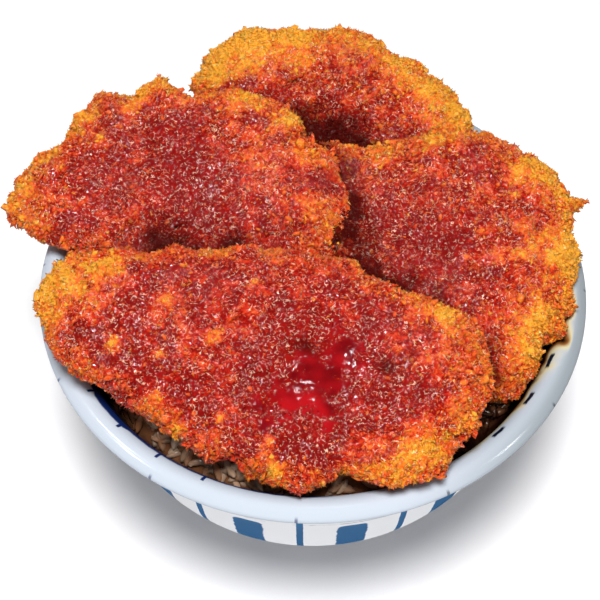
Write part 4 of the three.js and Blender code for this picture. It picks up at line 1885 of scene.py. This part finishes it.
# Some patches lay painted shade on a slice, and LIT patches take it away.
CUTLETS = (
    Cutlet(
        node="cutlet_front",
        middle=(-13, -38, 91),
        heading=-8,
        lean=14,
        roll=2,
        seed=11,
        patches=(
            *patches_of(
                StainAndShade.DRY,
                (-57, 15, 9), (-45, 20, 6), (38, -22, 7), (46, -18, 6), (46, 18, 5),
            ),
            *patches_of(
                StainAndShade.WARM,
                (-46, 9, 6), (-60, 4, 5), (-39, -2, 4), (51, 14, 3), (42, 8, 3), (27, -23, 4),
                (53, -8, 5), (36, 21, 4), (50, 6, 6),
            ),
            *patches_of(
                StainAndShade.CRUMB,
                (-27, 12, 2.2), (-13, 4, 2.6), (-39, -2, 2.2), (-25, -14, 1.8), (-18, -21, 1.8),
                (-8, -18, 1.6), (-5, 20, 1.8), (-6, -7, 1.2), (-26, -3, 1.6), (46, 20, 2.6),
                (8, -28, 1.8), (6, -22, 1.6),
            ),
            *patches_of(
                StainAndShade.SOAKED,
                (-34, -17, 8), (-17, -28, 6), (-3, -31, 5), (16, -34, 4), (16, -5, 17),
            ),
            *patches_of(
                StainAndShade.DARK,
                (11, 5, 3), (33, 2, 2.5), (4, -33, 4), (-6, -32, 3.5), (-14, -30, 3),
            ),
            *patches_of(
                StainAndShade.POOL,
                (16, -3, 10), (21, 4, 7), (10, -9, 7), (18, -11, 4), (1, -13, 2.5), (4, -17, 2.2),
                (20, -16, 2.2),
            ),
        ),
        bays=bays_at(
            (-36, 26, 5, -2.6), (-20, 30, 9, -1.4), (-2, 33, 10, -1.8), (14, 32, 9, -1.8),
            (-57, 18, 6, 1.8), (-54, 23, 3, 2.5), (-60, 2, 3, -2.2), (-58, -5, 3, 1.6),
            (-48, -11, 6, 3.2), (-37, -17, 6, 2.2), (-27, -23, 7, 4.4), (-15, -30, 6, 4.0),
            (-4, -31, 4, -3.4), (4, -33, 4, 1.0), (16, -33, 7, 3.0), (30, -31, 6, -6.4),
            (41, -31, 4, -1.6), (47, -27, 3, 2.0), (55, -16, 5, -0.6), (58, -9, 4, 1.2),
            (60, 2, 5, 1.4),
        ),
    ),
    Cutlet(
        node="cutlet_left",
        middle=(-38, 25.5, 93),
        heading=-4,
        lean=11,
        roll=2,
        seed=23,
        patches=(
            *patches_of(StainAndShade.DRY, (-18, 21, 6), (-11, 28, 5), (18, 24, 7), (30, 16, 6)),
            *patches_of(
                StainAndShade.WARM,
                (-44, -12, 8), (-38, 0, 5), (-31, 16, 6), (4, 23, 6), (37, 4, 6), (38, -10, 6),
                (-36, -16, 7), (-26, 8, 5), (14, 14, 5), (24, 0, 9), (-3, 22, 5),
            ),
            *patches_of(StainAndShade.CRUMB, (-24, 7, 1.6)),
            *patches_of(StainAndShade.SOAKED, (3, -5, 14), (-1, 8, 7), (-31, -24, 6), (40, -4, 6)),
            *patches_of(StainAndShade.LIT, (-34, -21, 7), (40, -20, 9), (-16, -24, 5)),
            *patches_of(StainAndShade.DARK, (-5, -24, 6), (2, -25, 6), (18, -24, 4)),
        ),
        bays=bays_at(
            (-9.5, 30, 2, 1.6), (-17, 25, 3.5, -2.2), (-28, 25, 1.6, 1.8), (-1, 27, 4, -2.4),
            (-35, 7, 5, -1.6), (-40, 4, 4, -2.0), (-34, 12, 5, 2.4), (-48, -7, 4, -1.2),
            (-45, -20, 4, -1.2), (-5, 28, 4, -1.0), (45, -12, 7, 5.0), (43, -22, 5, 6.0),
            (-26, 22, 4, 1.0), (34, 14, 4, -1.4),
        ),
    ),
    Cutlet(
        node="cutlet_right",
        middle=(36, 3, 90),
        heading=-45,
        lean=12,
        roll=-8,
        seed=53,
        patches=(
            *patches_of(StainAndShade.DRY, (3, 37, 7), (24, 27, 7), (31, 21, 6), (36, -7, 7), (34, 3, 6)),
            *patches_of(
                StainAndShade.WARM,
                (-31, 9, 5), (-24, 22, 6), (11, 35, 6), (21, 13, 5), (12, 18, 5), (15, 7, 4),
                (24, 20, 5), (-2, 18, 4), (0, 31, 5),
            ),
            *patches_of(
                StainAndShade.CRUMB,
                (18, 12, 2.2), (24, 19, 2), (5, 9, 1.5), (8, 0, 1.4), (4, 24, 1.8),
            ),
            *patches_of(StainAndShade.SOAKED, (-4, -6, 14)),
            *patches_of(StainAndShade.LIT, (12, -15, 5), (-40, -8, 5), (-31, -6, 3)),
            *patches_of(
                StainAndShade.DARK,
                (-31, -9, 5), (-25, -12, 5), (-16, -18, 7), (-8, -24, 4), (2, -21, 6), (12, -17, 4),
                (29, -15, 4), (34, -19, 4), (39, -24, 5),
            ),
        ),
        bays=bays_at(
            (41, 7, 3, 2.4), (41, -1, 3, -2.6), (44, -10, 6, -0.8), (44, -24, 4, 1.4),
            (16.2, 38, 1.5, 7.2), (23, 32, 5, -2.0), (35, 16, 5, 1.2), (6, 39, 4, 1.4),
            (-8, 36, 5, -3.6),
        ),
        base_soak=0.76,
    ),
    Cutlet(
        node="cutlet_back",
        middle=(6, 49, 90),
        heading=0,
        lean=24,
        roll=0,
        seed=37,
        patches=(
            *patches_of(
                StainAndShade.DRY,
                (-34, 15, 9), (-24, 23, 8), (-11, 25, 6), (19, 18, 7), (28, 10, 7), (35, 2, 6),
            ),
            *patches_of(StainAndShade.WARM, (4, 24, 6), (-11, 17, 6)),
            *patches_of(StainAndShade.SOAKED, (2, -1, 11)),
            *patches_of(StainAndShade.LIT, (-31, 9, 8), (-20, 8, 6), (22, 0, 7), (31, 2, 7)),
            *patches_of(StainAndShade.DARK, (6, -7.5, 7), (-1, -4, 7), (-9, -1, 5)),
        ),
        bays=bays_at(
            (-2, 31, 9, -1.2), (-24, 27, 4, 0.8), (-36, 12, 4, -1.2), (16, 26, 4, -1.2),
            (22, 21, 6, -2.4), (28, 15, 6, -1.4), (36, 6, 6, -1.2),
        ),
        base_soak=0.64,
    ),
)


# The studio


@dataclass(frozen=True)
class Softbox:
    """A round softbox that shines on the heap, in millimetres from the bowl's axis and in watts."""

    name: str
    place: tuple[float, float, float]
    size: float
    power: float
    lights: bool = True
    mirrored: bool = True
    aim_height: float = 70.0

    def hang(self) -> None:
        """Puts it in the scene."""
        light = bpy.data.lights.new(self.name, "AREA")
        light.shape = "DISK"
        light.size = self.size * MM
        light.energy = self.power
        lamp = bpy.data.objects.new(self.name, light)
        lamp.location = bowl_axis() + Vector(self.place) * MM
        lamp.visible_diffuse = self.lights
        lamp.visible_glossy = self.mirrored
        aim = bowl_axis() + Vector((0, 0, self.aim_height * MM)) - lamp.location
        lamp.rotation_euler = aim.to_track_quat("-Z", "Y").to_euler()
        bpy.context.scene.collection.objects.link(lamp)


SOFTBOXES = (
    Softbox("top_softbox", (-8, -250, 950), 290, 13.4, mirrored=False),
    Softbox("front_softbox", (0, -850, 520), 300, 1.45, mirrored=False),
    Softbox("key_spark", (-420, 160, 900), 130, 2.4, lights=False),
    Softbox("left_spark", (-540, -60, 880), 110, 2.6, lights=False),
    Softbox("back_spark", (300, 760, 700), 110, 2.6, lights=False),
    Softbox("right_spark", (640, -120, 720), 110, 2.0, lights=False),
    Softbox("pool_spark", (40, 240, 1000), 50, 0.4, lights=False),
)


@dataclass(frozen=True)
class Studio:
    """The floor, the lights and the camera, in millimetres from the bowl's axis."""

    floor_size: float = 6000.0
    camera_place: tuple[float, float, float] = (0.0, -252.8, 415.4)
    camera_aim: tuple[float, float, float] = (-0.0085, 0.588, -0.8088)
    picture_pixels: int = 600
    focal_pixels: float = 1473.0
    sensor: float = 36.0
    nearest: float = 10.0
    sky: float = 0.21

    def _floor(self) -> None:
        """Lays the floor."""
        shape = bmesh.new()
        bmesh.ops.create_grid(shape, x_segments=2, y_segments=2, size=self.floor_size / 2 * MM)
        mesh = bpy.data.meshes.new("floor")
        shape.to_mesh(mesh)
        shape.free()
        new_piece("floor", mesh, PaleFloor().material())

    def _sky(self) -> None:
        """Fills the room with an even white light, which nothing glossy mirrors."""
        world = bpy.data.worlds.new("room")
        bpy.context.scene.world = world
        world.use_nodes = True
        background = world.node_tree.nodes["Background"]
        background.inputs["Color"].default_value = (1.0, 1.0, 1.0, 1.0)
        background.inputs["Strength"].default_value = self.sky
        world.cycles_visibility.glossy = False

    def _camera(self) -> None:
        """Sets the camera at the photograph's angle."""
        data = bpy.data.cameras.new("photo_camera")
        data.sensor_width = self.sensor
        data.lens = self.focal_pixels * self.sensor / self.picture_pixels
        data.clip_start = self.nearest * MM
        camera = bpy.data.objects.new("photo_camera", data)
        camera.location = bowl_axis() + Vector(self.camera_place) * MM
        camera.rotation_euler = Vector(self.camera_aim).to_track_quat("-Z", "Y").to_euler()
        bpy.context.scene.collection.objects.link(camera)
        bpy.context.scene.camera = camera

    def build(self) -> None:
        """Sets up the studio."""
        self._floor()
        self._sky()
        for softbox in SOFTBOXES:
            softbox.hang()
        self._camera()
        bpy.context.scene.view_settings.view_transform = "Standard"


def main() -> None:
    """Builds the studio, the bowl, the rice and the cutlets."""
    logging.basicConfig(level=logging.INFO, format="%(name)s %(message)s")
    Studio().build()
    DonburiBowl().build()
    RiceBed().build()
    finish = SaucedCrust().material()
    above: list[str] = []
    for cutlet in CUTLETS:
        cutlet.build(above, finish)
        above.append(cutlet.node)


if __name__ == "__main__":
    main()
